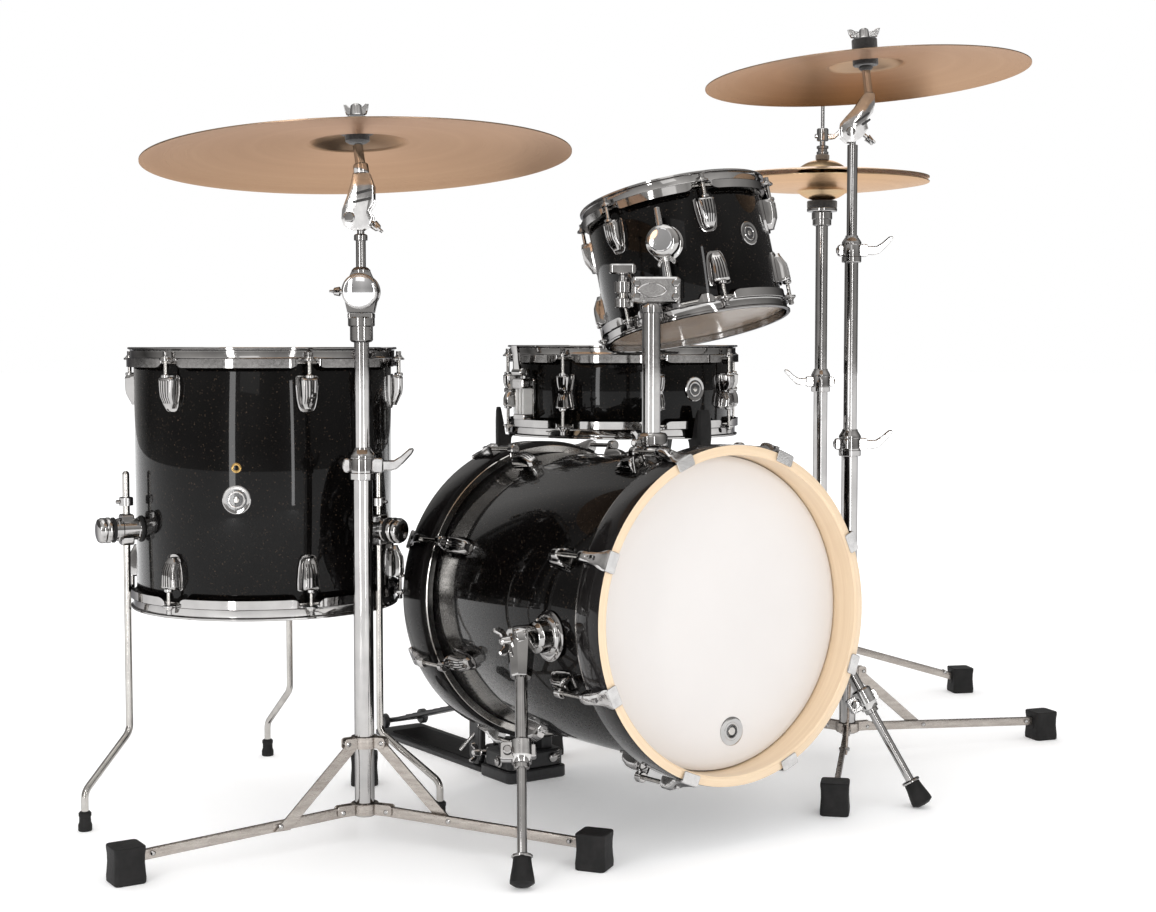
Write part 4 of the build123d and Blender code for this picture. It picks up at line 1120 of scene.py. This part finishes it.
def paddle(kit, base, way, size=1.0):
    """A cast clamp handle: a boss that sweeps up into a flat rounded grip."""
    way = Vector(way).normalized()
    shape = [
        (-4, -6), (8, -7), (16, -5), (25, 3), (36, 15), (38, 19.5), (36.5, 22), (32, 21.5),
        (21, 12), (12, 6.5), (4, 6.5), (-4, 6),
    ]
    outline = [(a * size, b * size) for a, b in shape]
    normal = way.cross(UP)
    kit.prism(Vector(base) - normal * 4.2, way, UP, outline, 8.4, CAST, 1.8)


def collar(kit, spot, top, tube, inner, way):
    """A tube's height clamp: split band with a lobe and a handle, and a taper to the inner tube."""
    middle = Vector((*spot, 0))
    way = Vector(way).normalized()
    outer = tube + 4.5
    kit.lathe(
        middle + UP * (top - 28), UP,
        [
            (tube + 0.3, 0), (outer - 1, 0.4), (outer, 1.6), (outer, 9), (outer - 1.2, 10),
            (outer - 1.2, 27), (outer - 2, 28.5), (outer - 2, 29),
        ],
    )
    kit.lathe(
        middle + UP * (top - 0.5), UP,
        [
            (outer - 1.2, 0), (outer, 1.2), (outer, 4), (outer - 1.6, 7), (inner + 1.8, 12),
            (inner + 1.6, 14.5), (inner + 0.2, 14.5),
        ],
    )
    kit.block(middle + way * (outer + 3) + UP * (top - 9), way, UP, (14, 19, 15), CAST, 1.4, 4)
    kit.block(middle - way * (outer + 2) + UP * (top - 9), way, UP, (9, 18, 13), CAST, 1.6, 4)
    kit.lathe(
        middle - way * (outer + 6) + UP * (top - 9), -way, [(5.4, 0), (5.4, 1.6), (4, 2.6), (0, 2.8)],
        CHROME, 6,
    )
    paddle(kit, middle + way * (outer + 11) + UP * (top - 9), way)


def fork(kit, pivot, axis, radius, foot_z, material=CAST):
    """Two rounded cheeks with a bolt, on a neck block."""
    axis = Vector(axis).normalized()
    level = axis.cross(UP).normalized()
    drop = pivot.z - foot_z
    outline = arc(radius, -10, 200, 12) + [(-radius * 0.75, -drop + 1), (radius * 0.75, -drop + 1)]
    for side in (-1, 1):
        kit.prism(
            pivot + axis * (side * 9.5) - axis * 2.5, level, UP, outline,
            5 if level.cross(UP).dot(axis) > 0 else -5, material, 0.8,
        )
    kit.both(pivot, axis * 15, 4, NICKEL, 16)
    kit.lathe(pivot + axis * 12, axis, [(7, 0), (7, 3), (5.5, 4)], CHROME, 6)
    kit.lathe(pivot - axis * 12, -axis, [(7, 0), (7, 3), (5.5, 4)], CHROME, 20)
    kit.block(Vector((pivot.x, pivot.y, foot_z - 3)), axis, level, (24, radius * 1.5, 7), material, 1, 3)


def tongue(kit, pivot, axis, radius, end, material=CAST):
    """The ratchet disc between a fork's cheeks, with a tapering neck."""
    axis = Vector(axis).normalized()
    run = Vector(end) - pivot
    along = run.normalized()
    across = axis.cross(along)
    outline = arc(radius, 60, 240, 14) + [(run.length, -radius * 0.52), (run.length, radius * 0.52)]
    kit.prism(pivot - axis * 6.4, along, across, outline, 12.8, material, 1.0)


def cymbal(name, body, node, rim, radius, bell_r, bow, bell, hole, material, way=1):
    """A spun cymbal: cup, shoulder, bow and a slightly flatter edge, 1.5 mm thick."""
    def bow_line(p, q, r, steps):
        """Points on the circle through three (radius, height) points."""
        ax, ay = p
        bx, by = q
        cx, cy = r
        d = 2 * (ax * (by - cy) + bx * (cy - ay) + cx * (ay - by))
        a, b, c = ax * ax + ay * ay, bx * bx + by * by, cx * cx + cy * cy
        ux = (a * (by - cy) + b * (cy - ay) + c * (ay - by)) / d
        uy = (a * (cx - bx) + b * (ax - cx) + c * (bx - ax)) / d
        size = math.hypot(ax - ux, ay - uy)
        one, two = math.atan2(ay - uy, ax - ux), math.atan2(cy - uy, cx - ux)
        turns = (one + (two - one) * k / steps for k in range(steps + 1))
        return [(ux + size * math.cos(t), uy + size * math.sin(t)) for t in turns]

    middle = (bell_r + radius) / 2
    line = bow_line((hole, bow + bell), (bell_r * 0.62, bow + bell * 0.72), (bell_r, bow), 14)
    line += bow_line((bell_r, bow), (middle, bow * 0.68), (radius, 0), 36)[1:]
    top = [(x, way * y) for x, y in line]
    low = [(x, way * y - CYMBAL_THICK) for x, y in line]
    edge = [(radius, top[-1][1] - CYMBAL_THICK / 2)]
    kit = Kit()
    kit.lathe(rim.o, rim.z, top + edge + low[::-1], material, 160, True)
    return kit.done(name, body, "bronze", node, angle=50, origin=rim.o, axis=rim.z)


def seat(kit, rim, height, cup, sleeve, felt, nut, dome=False):
    """What holds a cymbal whose bell stands at a height.

    Cup and sleeve below and felt above are (radius, height); the nut is its (span, height).
    """
    under = height - 3.7
    z, o = rim.z, rim.o
    wide, tall = cup
    kit.lathe(
        o + z * (under - tall), z,
        [(4.5, 0), (wide - 1.4, 0), (wide, 1.2), (wide, tall - 1.4), (wide - 1.4, tall), (4.5, tall)],
        FELT_BLACK,
    )
    wide, tall = sleeve
    kit.lathe(
        o + z * (under - cup[1] - tall), z,
        [
            (4.5, 0), (wide * 0.72, 0), (wide, 3), (wide, tall - 2), (wide * 0.9, tall - 0.3),
            (4.5, tall - 0.3),
        ],
        FELT_BLACK, 36,
    )
    wide, tall = felt
    over = o + z * (height + 0.4)
    top = [(wide, 1.2), (wide, tall * 0.4), (wide * 0.82, tall * 0.72), (wide * 0.5, tall)]
    if not dome:
        top = [(wide, 1.2), (wide, tall - 1.4), (wide - 1.4, tall)]
    kit.lathe(over, z, [(4.5, 0), (wide - 1.4, 0)] + top + [(4.5, tall)], FELT_BLACK)
    base = over + z * (tall + 0.2)
    kit.lathe(
        base, z, [(4.3, 0), (9.4, 0), (9.8, 1), (8.4, 3), (7, nut[1] * 0.9), (5.4, nut[1]), (4.3, nut[1])],
        CAST, 28,
    )
    x, _, _ = square_to(z, ACROSS)
    span, rise = nut
    half = [
        (9, 0.5), (span * 0.40, rise * 0.14), (span * 0.46, rise * 0.5), (span * 0.5, rise),
        (span * 0.38, rise * 1.02),
    ]
    outline = mirrored(half + [(span * 0.27, rise * 0.8), (6, rise * 0.72)])
    kit.prism(base - x.cross(z) * 2.6, x, z, outline, 5.2, CAST, 1.2)
    kit.rod(o + z * (under - 32), base + z * (nut[1] + 1), 3.9, NICKEL)


def tilter_body(kit, pivot, outline, bridge, slots, bolt, screw):
    """A cast tilter: two cheeks joined at the top, slots, a pivot bolt and a wing screw.

    All points are (across, up) from the pivot, in the plane the tilter shows to the audience.
    """
    inner, outer = 9.6, 13.0

    def at(point, depth=0.0):
        return pivot + ACROSS * point[0] + UP * point[1] + SIGHT * depth

    kit.prism(at((0, 0), -inner), ACROSS, UP, outline, outer - inner, CAST, 2.4)
    kit.prism(at((0, 0), outer), ACROSS, UP, outline, outer - inner, CAST, 2.4)
    kit.prism(at((0, 0), inner), ACROSS, UP, bridge, inner * 2, CAST, 0.4)
    # Each slot is a thin dark block on both cheeks: painted shade where the slot opens.
    for a, b in slots:
        a, b = Vector(a), Vector(b)
        long = (b - a).length
        run = (ACROSS * (b.x - a.x) + UP * (b.y - a.y)) / long
        lift = run.cross(SIGHT)
        for face in (-1, 1):
            kit.block(at((a + b) / 2, face * outer), run, lift, (long, 3.4, 1.0), SHADOW, 0.3, 1.6)
    for face in (-1, 1):
        kit.lathe(
            at(bolt, face * (outer - 0.5)), SIGHT * face, [(7, 0), (7, 2), (5.8, 3.2), (0, 3.6)], CHROME,
            28,
        )
    wing_screw(kit, at(screw), (ACROSS - UP * 0.9), 30, SIGHT, 12)


def treadle(kit, heel, toe, level, half, axle, plate, pads, pad):
    """A foot plate on its heel axle, with nine raised bars across it.

    The plate is (width, material), the pads (first, pitch), and one pad (size, material, edge, radius).
    """
    way = (toe - heel).normalized()
    normal = level.cross(way)
    if normal.z < 0:
        normal = -normal
    kit.rod(heel - level * half, heel + level * half, 4, axle)
    bar(kit, heel + way * 4, toe, plate[0], 6, plate[1], 2)
    for k in range(9):
        kit.block(heel + way * (pads[0] + pads[1] * k) + normal * 3.4, level, way, *pad)


def stand_base(spot, feet, hub_z, brace_z, top, inner, way, seg=48):
    """A tripod with its outer tube and the clamp that holds the inner tube."""
    kit = Kit()
    tripod(kit, spot, feet, hub_z, brace_z)
    kit.rod((*spot, hub_z - 10), (*spot, top), TUBE_R, CHROME, seg)
    collar(kit, spot, top, TUBE_R, inner, way)
    return kit


def snare_stand():
    spot = x, y = tuple(SNARE.o.xy)
    kit = stand_base(spot, (170.0, (70.0, 190.0, 310.0)), 46, 128, 300, MID_R, (1, 0.3, 0), 40)
    kit.done("snare_stand_tripod", "root", "chrome", "snare_stand_base")

    pivot = Vector((x, y, 430))
    kit = Kit()
    kit.rod((x, y, 190), (x, y, 404), MID_R, CHROME, 32)
    fork(kit, pivot, X, 12, 410)
    kit.done("snare_stand_column", "snare_column", "chrome", "snare_stand_tube")

    bottom = SNARE.o.z - SNARE_LONG / 2 - 10.4
    kit = Kit()
    tongue(kit, pivot, X, 11, (x, y, 448))
    kit.lathe((x, y, 447), UP, [(10, 0), (19, 1), (20, 2.5), (20, 13), (18, 15), (9, 15.4)])
    for angle in (272.0, 152.0, 32.0):
        bar(kit, polar(spot, angle, 18, 455), polar(spot, angle, 196, 455), 10, 10, CHROME)
        out = SNARE.out(angle)
        side = SNARE.side(angle)
        rows = []
        for z, low, high, wide in (
            (-44, 184, 203, 17), (-36, 184, 205, 20), (-16, 183, 206, 25), (-4, 182, 206, 28),
            (-1, 180, 206, 29), (1, 191.5, 206, 29), (22, 194.5, 206, 28), (38, 197.5, 205.6, 25),
            (45, 199, 204.5, 21),
        ):
            half = wide / 2
            rows.append(
                [
                    polar(spot, angle, r, bottom + z) + side * across
                    for r, across in (
                        (low, -half), (low + 1, -half), (high - 3, -half), (high, -half * 0.7),
                        (high, half * 0.7), (high - 3, half), (low + 1, half), (low, half),
                    )
                ]
            )
        kit.skin(rows, RUBBER)
        kit.rod(polar(spot, angle, 203, 455) - out * 30, polar(spot, angle, 203, 455), 5)
    kit.done("snare_stand_basket", "snare_drum", "black_rubber", "snare_basket")


def hihat():
    spot = x, y = 755.0, 670.0
    centre = Vector((x, y, 0))
    way = polar((0, 0), 156.0, 1)
    cross = UP.cross(way)
    kit = stand_base(spot, (277.0, (-24.0, 96.0, 216.0)), 106, 0, 588, HAT_TUBE_R, (-0.82, 0.57, 0), 40)
    kit.block(centre + way * 148 + UP * 4, way, cross, (330, 72, 7.8), POWDER, 1.2, 9)
    for side in (-1, 1):
        kit.block(centre + cross * (side * 26) + UP * 51, way, UP, (12, 86, 8), CHROME, 0.8)
        heel = centre + way * 292 + cross * (side * 29) + UP * 22
        kit.both(heel, cross * 4, 11, POWDER, 28, 1)
    kit.done("hihat_tripod", "root", "chrome", "hihat_base")

    heel = centre + way * 292 + UP * 22
    toe = centre + way * 52 + UP * 62
    tip = centre + UP * 70
    kit = Kit()
    treadle(kit, heel, toe, cross, 33, NICKEL, (48, NICKEL), (40, 22), ((38, 5, 1.6), POWDER, 0.4, 2))
    bar(kit, toe, tip, 20, 5, NICKEL)
    kit.rod(tip + UP * 3, tip + UP * 20, 3, NICKEL, 16)
    kit.done("hihat_footboard", "hat_board", "steel", "hihat_pedal")

    rim_z, opening = 938.0, 8.0
    seat_z = rim_z - 14 - 17 - CYMBAL_THICK - 0.25
    kit = Kit()
    kit.rod((x, y, 420), (x, y, seat_z - 24), HAT_TUBE_R, CHROME, 32)
    kit.lathe(
        (x, y, seat_z - 46), UP,
        [(11, 0), (14, 1), (16.8, 2.4), (16.8, 12), (18.4, 13), (18.4, 24), (17, 25.6), (11, 25.8)],
    )
    kit.lathe(
        (x, y, seat_z - 20), UP, [(4.4, 0), (26, 0.2), (27, 1.4), (27, 5.6), (26, 6.8), (4.4, 6.8)], CHROME,
        48,
    )
    kit.lathe(
        (x, y, seat_z - 13), UP, [(4.4, 0), (26, 0), (27, 1.2), (27, 11.6), (25.6, 12.8), (4.4, 12.8)],
        FELT_BLACK, 48,
    )
    kit.done("hihat_column", "hat_column", "chrome", "hihat_tube")

    bell = rim_z + opening + 14 + 18
    kit = Kit()
    kit.rod((x, y, 94), (x, y, 1090), 3.2)
    kit.lathe((x, y, bell - 16), UP, [(3.4, 0), (9, 0), (11, 1), (11, 12.8), (3.4, 13.6)], FELT_BROWN, 32)
    kit.lathe(
        (x, y, bell + 0.6), UP, [(3.4, 0), (11.4, 0), (12.4, 1), (12.4, 8), (11.4, 9), (3.4, 9)],
        FELT_BROWN, 36,
    )
    kit.lathe(
        (x, y, bell + 9.8), UP,
        [
            (3.4, 0), (9.4, 0), (10.6, 1), (10.6, 5), (8.4, 6), (8.4, 10), (10.6, 11), (10.6, 15), (9, 16),
            (3.4, 16),
        ],
        CHROME, 32,
    )
    kit.rod((x, y, bell + 25), (x, y, bell + 36), 5)
    kit.lathe(
        (x, y, bell + 34), UP, [(3.4, 0), (9, 0), (10.4, 1.2), (10.4, 21), (9, 22.6), (3.4, 22.6)], CHROME,
        32,
    )
    paddle(kit, Vector((x, y, bell + 42)) + ACROSS * 10, ACROSS, 0.75)
    kit.lathe(
        Vector((x, y, bell + 43)) - ACROSS * 9, -ACROSS, [(4, 0), (4, 4), (3, 5), (0, 5.2)], CHROME, 20,
    )
    kit.done("hihat_pull_rod", "hat_pull", "chrome", "hihat_rod")

    bottom = Axis((x, y, rim_z), UP)
    top = Axis((x, y, rim_z + opening), UP)
    cymbal("hihat_top_disc", "hat_pull", "hihat_top_cymbal", top, 190.5, 46, 14, 18, 5, PALE_BRONZE)
    cymbal(
        "hihat_bottom_disc", "hat_column", "hihat_bottom_cymbal", bottom, 190.5, 46, 14, 17, 5, PALE_BRONZE,
        -1,
    )


def ride_stand():
    spot = x, y = -389.0, 284.0
    kit = stand_base(spot, (318.0, (178.0, 304.0, 62.0)), 46, 133, 500, MID_R, ACROSS)
    kit.done("ride_tripod", "root", "chrome", "ride_stand_base")

    knuckle = Vector((x, y, 713))
    kit = Kit()
    kit.rod((x, y, 330), (x, y, 678), MID_R, CHROME, 40)
    kit.lathe(
        (x, y, 648), UP,
        [(9.6, 0), (13, 1), (14.6, 3), (14.6, 20), (17, 21.4), (17, 31), (15.6, 32.6), (9.6, 33)],
    )
    fork(kit, knuckle, SIGHT, 22, 685, CHROME)
    kit.done("ride_column_tube", "ride_column", "chrome", "ride_stand_tube")

    pivot = Vector((x, y, 812))
    kit = Kit()
    tongue(kit, knuckle, SIGHT, 21, (x, y, 740), CHROME)
    kit.rod((x, y, 738), (x, y, 783), ROD_R, CHROME, 32)
    kit.lathe((x, y, 737), UP, [(12, 0), (12, 3), (9, 6), (6.6, 7)], CHROME, 32)
    kit.lathe((x, y, 777), UP, [(6.4, 0), (8.6, 0.8), (8.6, 7), (7, 8.6), (4.8, 9)], CHROME, 28)
    kit.rod((x, y, 782), pivot, 4.7)
    kit.ball(pivot, 9, CHROME, 24)
    for face in (-1, 1):
        cap = knuckle + SIGHT * (face * 14)
        kit.lathe(cap, SIGHT * face, [(21.5, 0), (22.6, 1.2), (22.6, 6), (21, 7.6), (19.6, 8)], CHROME, 56)
        kit.lathe(cap, SIGHT * face, [(19.8, 6), (19.4, 8.2), (17, 9.2), (0, 9.8)], MIRROR, 56)
    wing_screw(kit, knuckle - ACROSS * 20, -ACROSS, 26, SIGHT, 12)
    kit.done("ride_upper_rod", "ride_boom", "chrome", "ride_stand_rod")

    axis = Vector((0.004, 0.081, 0.997)).normalized()
    rim = Axis(pivot + axis * 69, axis)
    kit = Kit()
    outline = [
        (-23, -8), (-20, -16), (-12, -21.5), (4, -21.5), (12, -16), (17, -6), (12, 3), (18, 12), (18, 34),
        (12, 50), (-8, 50), (-11, 36), (-16, 20), (-22, 4),
    ]
    bridge = [(-14, 17), (18, 17), (18, 34), (12, 50), (-8, 50), (-11, 36)]
    slots = (((-4, 24), (15, 29)), ((-9, 13), (15, 18)))
    tilter_body(kit, pivot, outline, bridge, slots, (-13, -6), (11, -9))
    top = pivot + ACROSS * 2 + UP * 49
    kit.rod(top, rim.o + axis * 18, ROD_R, CHROME, 28)
    kit.lathe(
        top, rim.o + axis * 18 - top, [(9, 0), (9.6, 1), (9.6, 12), (8.4, 13.4), (6.4, 13.6)], CHROME, 32,
    )
    seat(kit, rim, 46, (22, 10.6), (15.5, 11.7), (21, 8), (32, 15), True)
    kit.done("ride_tilter_head", "ride_head", "chrome", "ride_tilter")
    cymbal("ride_disc_bronze", "ride_disc", "ride_cymbal", rim, 272, 62, 22, 24, 5.5, BRONZE)


def crash_stand():
    spot = x, y = 470.0, 292.0
    kit = stand_base(spot, (360.0, (224.0, 345.5, 104.8)), 46, 133, 500, CRASH_TUBE_R, ACROSS)
    kit.done("crash_tripod", "root", "chrome", "crash_stand_base")

    kit = Kit()
    kit.rod((x, y, 330), (x, y, 800), CRASH_TUBE_R, CHROME, 40)
    collar(kit, spot, 800, CRASH_TUBE_R, CRASH_ROD_R, ACROSS)
    kit.done("crash_column_tube", "crash_column", "chrome", "crash_stand_tube")

    pivot = Vector((x, y, 981))
    kit = Kit()
    kit.rod((x, y, 640), (x, y, 953), CRASH_ROD_R, CHROME, 32)
    kit.rod((x, y, 952), pivot, 5)
    kit.ball(pivot, 9, CHROME, 24)
    kit.done("crash_upper_rod", "crash_top", "chrome", "crash_stand_rod")

    axis = Vector((-0.03, 0.06, 0.998)).normalized()
    start = Vector((x + 19, y - 13, 1012))
    rim = Axis(start + axis * 44, axis)
    kit = Kit()
    outline = [
        (-20, -8), (-18, -17), (-10, -24.5), (2, -24.5), (14, -16), (22, -4), (19, 8), (29, 20), (32, 34),
        (31, 50), (19, 52), (12, 44), (3, 30), (-9, 17), (-18, 6),
    ]
    bridge = [(0, 19), (28, 19), (32, 34), (31, 50), (19, 52), (12, 44), (3, 30)]
    slots = (((1, 4), (24, 20)), ((12, 1), (25, 10)))
    tilter_body(kit, pivot, outline, bridge, slots, (-5, -9), (17, -12))
    kit.rod(pivot + ACROSS * 24 + UP * 50, rim.o + axis * 14, ROD_R, CHROME, 28)
    seat(kit, rim, 42, (19.5, 20), (11, 7), (19.5, 17), (50, 15))
    kit.done("crash_tilter_head", "crash_head", "chrome", "crash_tilter")
    cymbal("crash_disc_bronze", "crash_disc", "crash_cymbal", rim, 248, 58, 20, 22, 5.5, BRONZE)


# ---------------------------------------------------------------- pedal and riser
def pedal():
    px = -20.0
    axle = Vector((px, 545, 190))
    heel = Vector((px, 838, 24))
    toe = Vector((px, 588, 92))
    kit = Kit()
    kit.block((px, 690, 4), X, Y, (88, 340, 7.8), POWDER, 1.2, 9)
    kit.block((px, 700, 8.4), X, Y, (60, 250, 1.4), RUBBER, 0.4, 6)
    for side in (-1, 1):
        at = px + side * 36
        kit.block((at, 545, 102), Y, UP, (22, 186, 11), POWDER, 1.2, 5)
        kit.block((at + side * 0.5, 545, 60), Y, UP, (34, 90, 9), POWDER, 1.2, 8)
        kit.lathe(
            Vector((at - side * 7, 545, 190)), X * side,
            [(5.2, 0), (11, 0.5), (12, 2), (12, 13), (10, 14.5), (5.2, 15)], CHROME, 32,
        )
        kit.rod((at - 5, heel.y, heel.z), (at + 5, heel.y, heel.z), 12, POWDER, 28, 1)
        kit.rod((at, 545, 60), (at + side * 22, 560, 30), 3, CHROME, 14)
    kit.block((px, 520, 24), X, Y, (56, 40, 30), POWDER, 2, 6)
    kit.block((px, 506, 42), X, Y, (44, 40, 7), CHROME, 1.2, 4)
    kit.lathe(
        (px - 28, 522, 30), (-1, 0, 0.1), [(8, 0), (8, 8), (5, 9), (5, 18), (4, 19), (0, 19)], CHROME, 24,
    )
    wing_screw(kit, (px - 46, 522, 32), (-1, 0, 0.1), 30, UP, 6)
    kit.done("pedal_frame_posts", "root", "black_metal", "pedal_frame")

    kit = Kit()
    treadle(kit, heel, toe, X, 40, CHROME, (56, POWDER), (50, 23), ((44, 6, 1.8), RUBBER, 0.5, 2.5))
    bar(kit, toe, toe + (toe - heel).normalized() * 22, 44, 5, CHROME, 2)
    kit.done("pedal_board", "footboard", "black_metal", "pedal_footboard")

    lean = math.radians(20)
    stem = Vector((0, math.sin(lean), math.cos(lean)))
    normal = Vector((0, math.cos(lean), -math.sin(lean)))
    head = axle + stem * 168
    kit = Kit()
    kit.both(axle, X * 50, 5, CHROME, 24)
    cam = [
        (5.4, -12), (20, -12), (22, -10.5), (22, -7), (18, -5.5), (18, 5.5), (22, 7), (22, 10.5), (20, 12),
        (5.4, 12),
    ]
    kit.lathe(axle, X, cam, CHROME, 48)
    kit.rod(axle + stem * 16, head + stem * 14, 3.2, CHROME, 18)
    kit.block(axle + stem * 24, X, stem, (16, 14, 14), CHROME, 1.2, 3)
    felt = [(3.6, -20), (18, -20), (21, -18), (22, -15), (22, -2), (3.6, -2)]
    kit.lathe(head, normal, felt, FELT_WHITE)
    kit.lathe(
        head, normal, [(3.6, -1.6), (21, -1.6), (22, -0.6), (21.4, 8), (17, 13), (12, 15.4), (3.6, 16)],
        POWDER,
    )
    kit.done("pedal_beater_head", "beater", "steel", "pedal_beater")

    kit = Kit()
    hoop_low = BASS_Z - (BASS_LONG - 25) * math.sin(BASS_TILT) - 220
    kit.prism((px, 474, 0), X, Y, rounded(104, 84, 10, 5), 18, POWDER, 2)
    kit.prism((px, 472, 17.0), X, Y, rounded(96, 72, 9, 5), 26, POWDER, 3)
    for side in (-1, 1):
        kit.lathe(
            (px + side * 47, 462, 30), X * side, [(9, 0), (9, 4), (6.4, 5), (6.4, 8), (5, 9), (0, 9.2)],
            CHROME, 24,
        )
        coil = []
        for step in range(73):
            turn = step * math.tau / 12
            coil.append((px + side * 38 + 4 * math.cos(turn), 440 + 4 * math.sin(turn), 18 + step * 0.33))
        kit.tube(coil, 0.9, NICKEL, 6)
    for side in (-1, 1):
        kit.block(
            (px + side * 28, 468, 18 + (hoop_low - 20) / 2), X, Y, (20, 36, hoop_low - 20), POWDER, 1.6, 4,
        )
        kit.lathe((px + side * 28, 436.4, 31), (0, -1, 0), [(7, 0), (7, 3), (5, 4.6), (0, 5)], CHROME, 24)
    kit.done("bass_riser_block", "root", "black_metal", "bass_riser")


bass_drum()
spurs()
tom_mount()
floor_tom_legs()
snare_parts()
snare_stand()
hihat()
ride_stand()
crash_stand()
pedal()


# ---------------------------------------------------------------- floor, light and camera
def stage():
    ground = Shade("pale_glowing_floor", Roughness=0.9, Specular_IOR_Level=0.0, Emission_Color=(1, 1, 1, 1))
    place = ground.coords()
    pale, paler = (0.90, 0.90, 0.905), (0.93, 0.93, 0.93)
    ground.set("Base Color", ground.ramp(ground.noise(place, 3.0), (0.3, pale), (0.7, paler)))
    # The floor glows white: painted light, faint under the kit where it lifts the shade, and stronger
    # further out so the floor fades to white.
    far = ground.node("VectorMath", operation="LENGTH")
    ground.feed(far.inputs[0], place)
    glow = ground.span(far.outputs["Value"], 1.1, 3.2, 0.17, 0.32, interpolation_type="SMOOTHSTEP")
    ground.set("Emission Strength", glow)
    shape = bmesh.new()
    seg = 96
    steps = (0.5, 2.0, 6.0, 16.0, 40.0)
    rings = [[shape.verts.new((r * x, r * y, 0)) for x, y in circle(seg)] for r in steps]
    shape.faces.new(rings[0])
    for a, b in zip(rings, rings[1:]):
        for i in range(seg):
            j = (i + 1) % seg
            shape.faces.new((a[i], a[j], b[j], b[i]))
    bmesh.ops.recalc_face_normals(shape, faces=shape.faces)
    data = bpy.data.meshes.new("floor")
    shape.to_mesh(data)
    shape.free()
    data.materials.append(ground.material)
    floor = show("floor", data)


def world():
    """Soft white light all round; polished metal sees a studio of grey walls, dark gaps and a pale floor."""
    made = bpy.data.worlds.new("studio")
    bpy.context.scene.world = made
    made.use_nodes = True
    sky = Nodes(made.node_tree)
    x, y, z = sky.split("Generated")
    turn = sky.span(sky.math("ARCTAN2", y, x), -math.pi, math.pi)
    walls, lift = (
        sky.ramp(value, *((at, (grey, grey * 0.99, grey * 0.98)) for at, grey in stops))
        for value, stops in ((turn, WALLS), (z, CEILING))
    )
    glossy = sky.node("LightPath").outputs["Is Glossy Ray"]
    back = sky.tree.nodes["Background"]
    sky.feed(back.inputs["Color"], sky.mix((1, 1, 1, 1), sky.mix(walls, lift), glossy, "MIX"))
    back.inputs["Strength"].default_value = 1.0


def softbox(name, where, aim, size, power, tall=None):
    data = bpy.data.lights.new(name, "AREA")
    data.shape = "RECTANGLE"
    data.size, data.size_y = size, tall or size
    data.energy = power
    lamp = show(name, data)
    lamp.location = where
    lamp.rotation_euler = (Vector(aim) - Vector(where)).to_track_quat("-Z", "Y").to_euler()


def camera():
    data = bpy.data.cameras.new("camera")
    data.sensor_width, data.lens, data.clip_end = 36.0, 56.06, 200.0
    eye = show("camera", data)
    eye.location = TO_ROW @ Vector((-1480, -1763, 644))
    eye.rotation_euler = (math.radians(90 - 3.5065), 0.0, math.radians(-34.9))
    bpy.context.scene.camera = eye


stage()
world()
softbox("overhead", (-0.2, 0.0, 3.8), (0, 0, 0.4), 2.6, 22)
softbox("left_strip", (-2.04, -1.07, 0.80), (-0.545, 0.09, 0.80), 0.17, 8, 1.5)
softbox("right_strip", (-0.60, -2.16, 0.80), (-0.545, 0.09, 0.80), 0.10, 5, 1.5)
softbox("front_left", (-3.2, -3.4, 3.0), (0, 0, 0.5), 1.4, 4)
softbox("back_right", (3.0, 2.6, 2.4), (0, 0, 0.6), 1.2, 14, 2.0)
camera()
bpy.context.scene.view_settings.view_transform = "Standard"
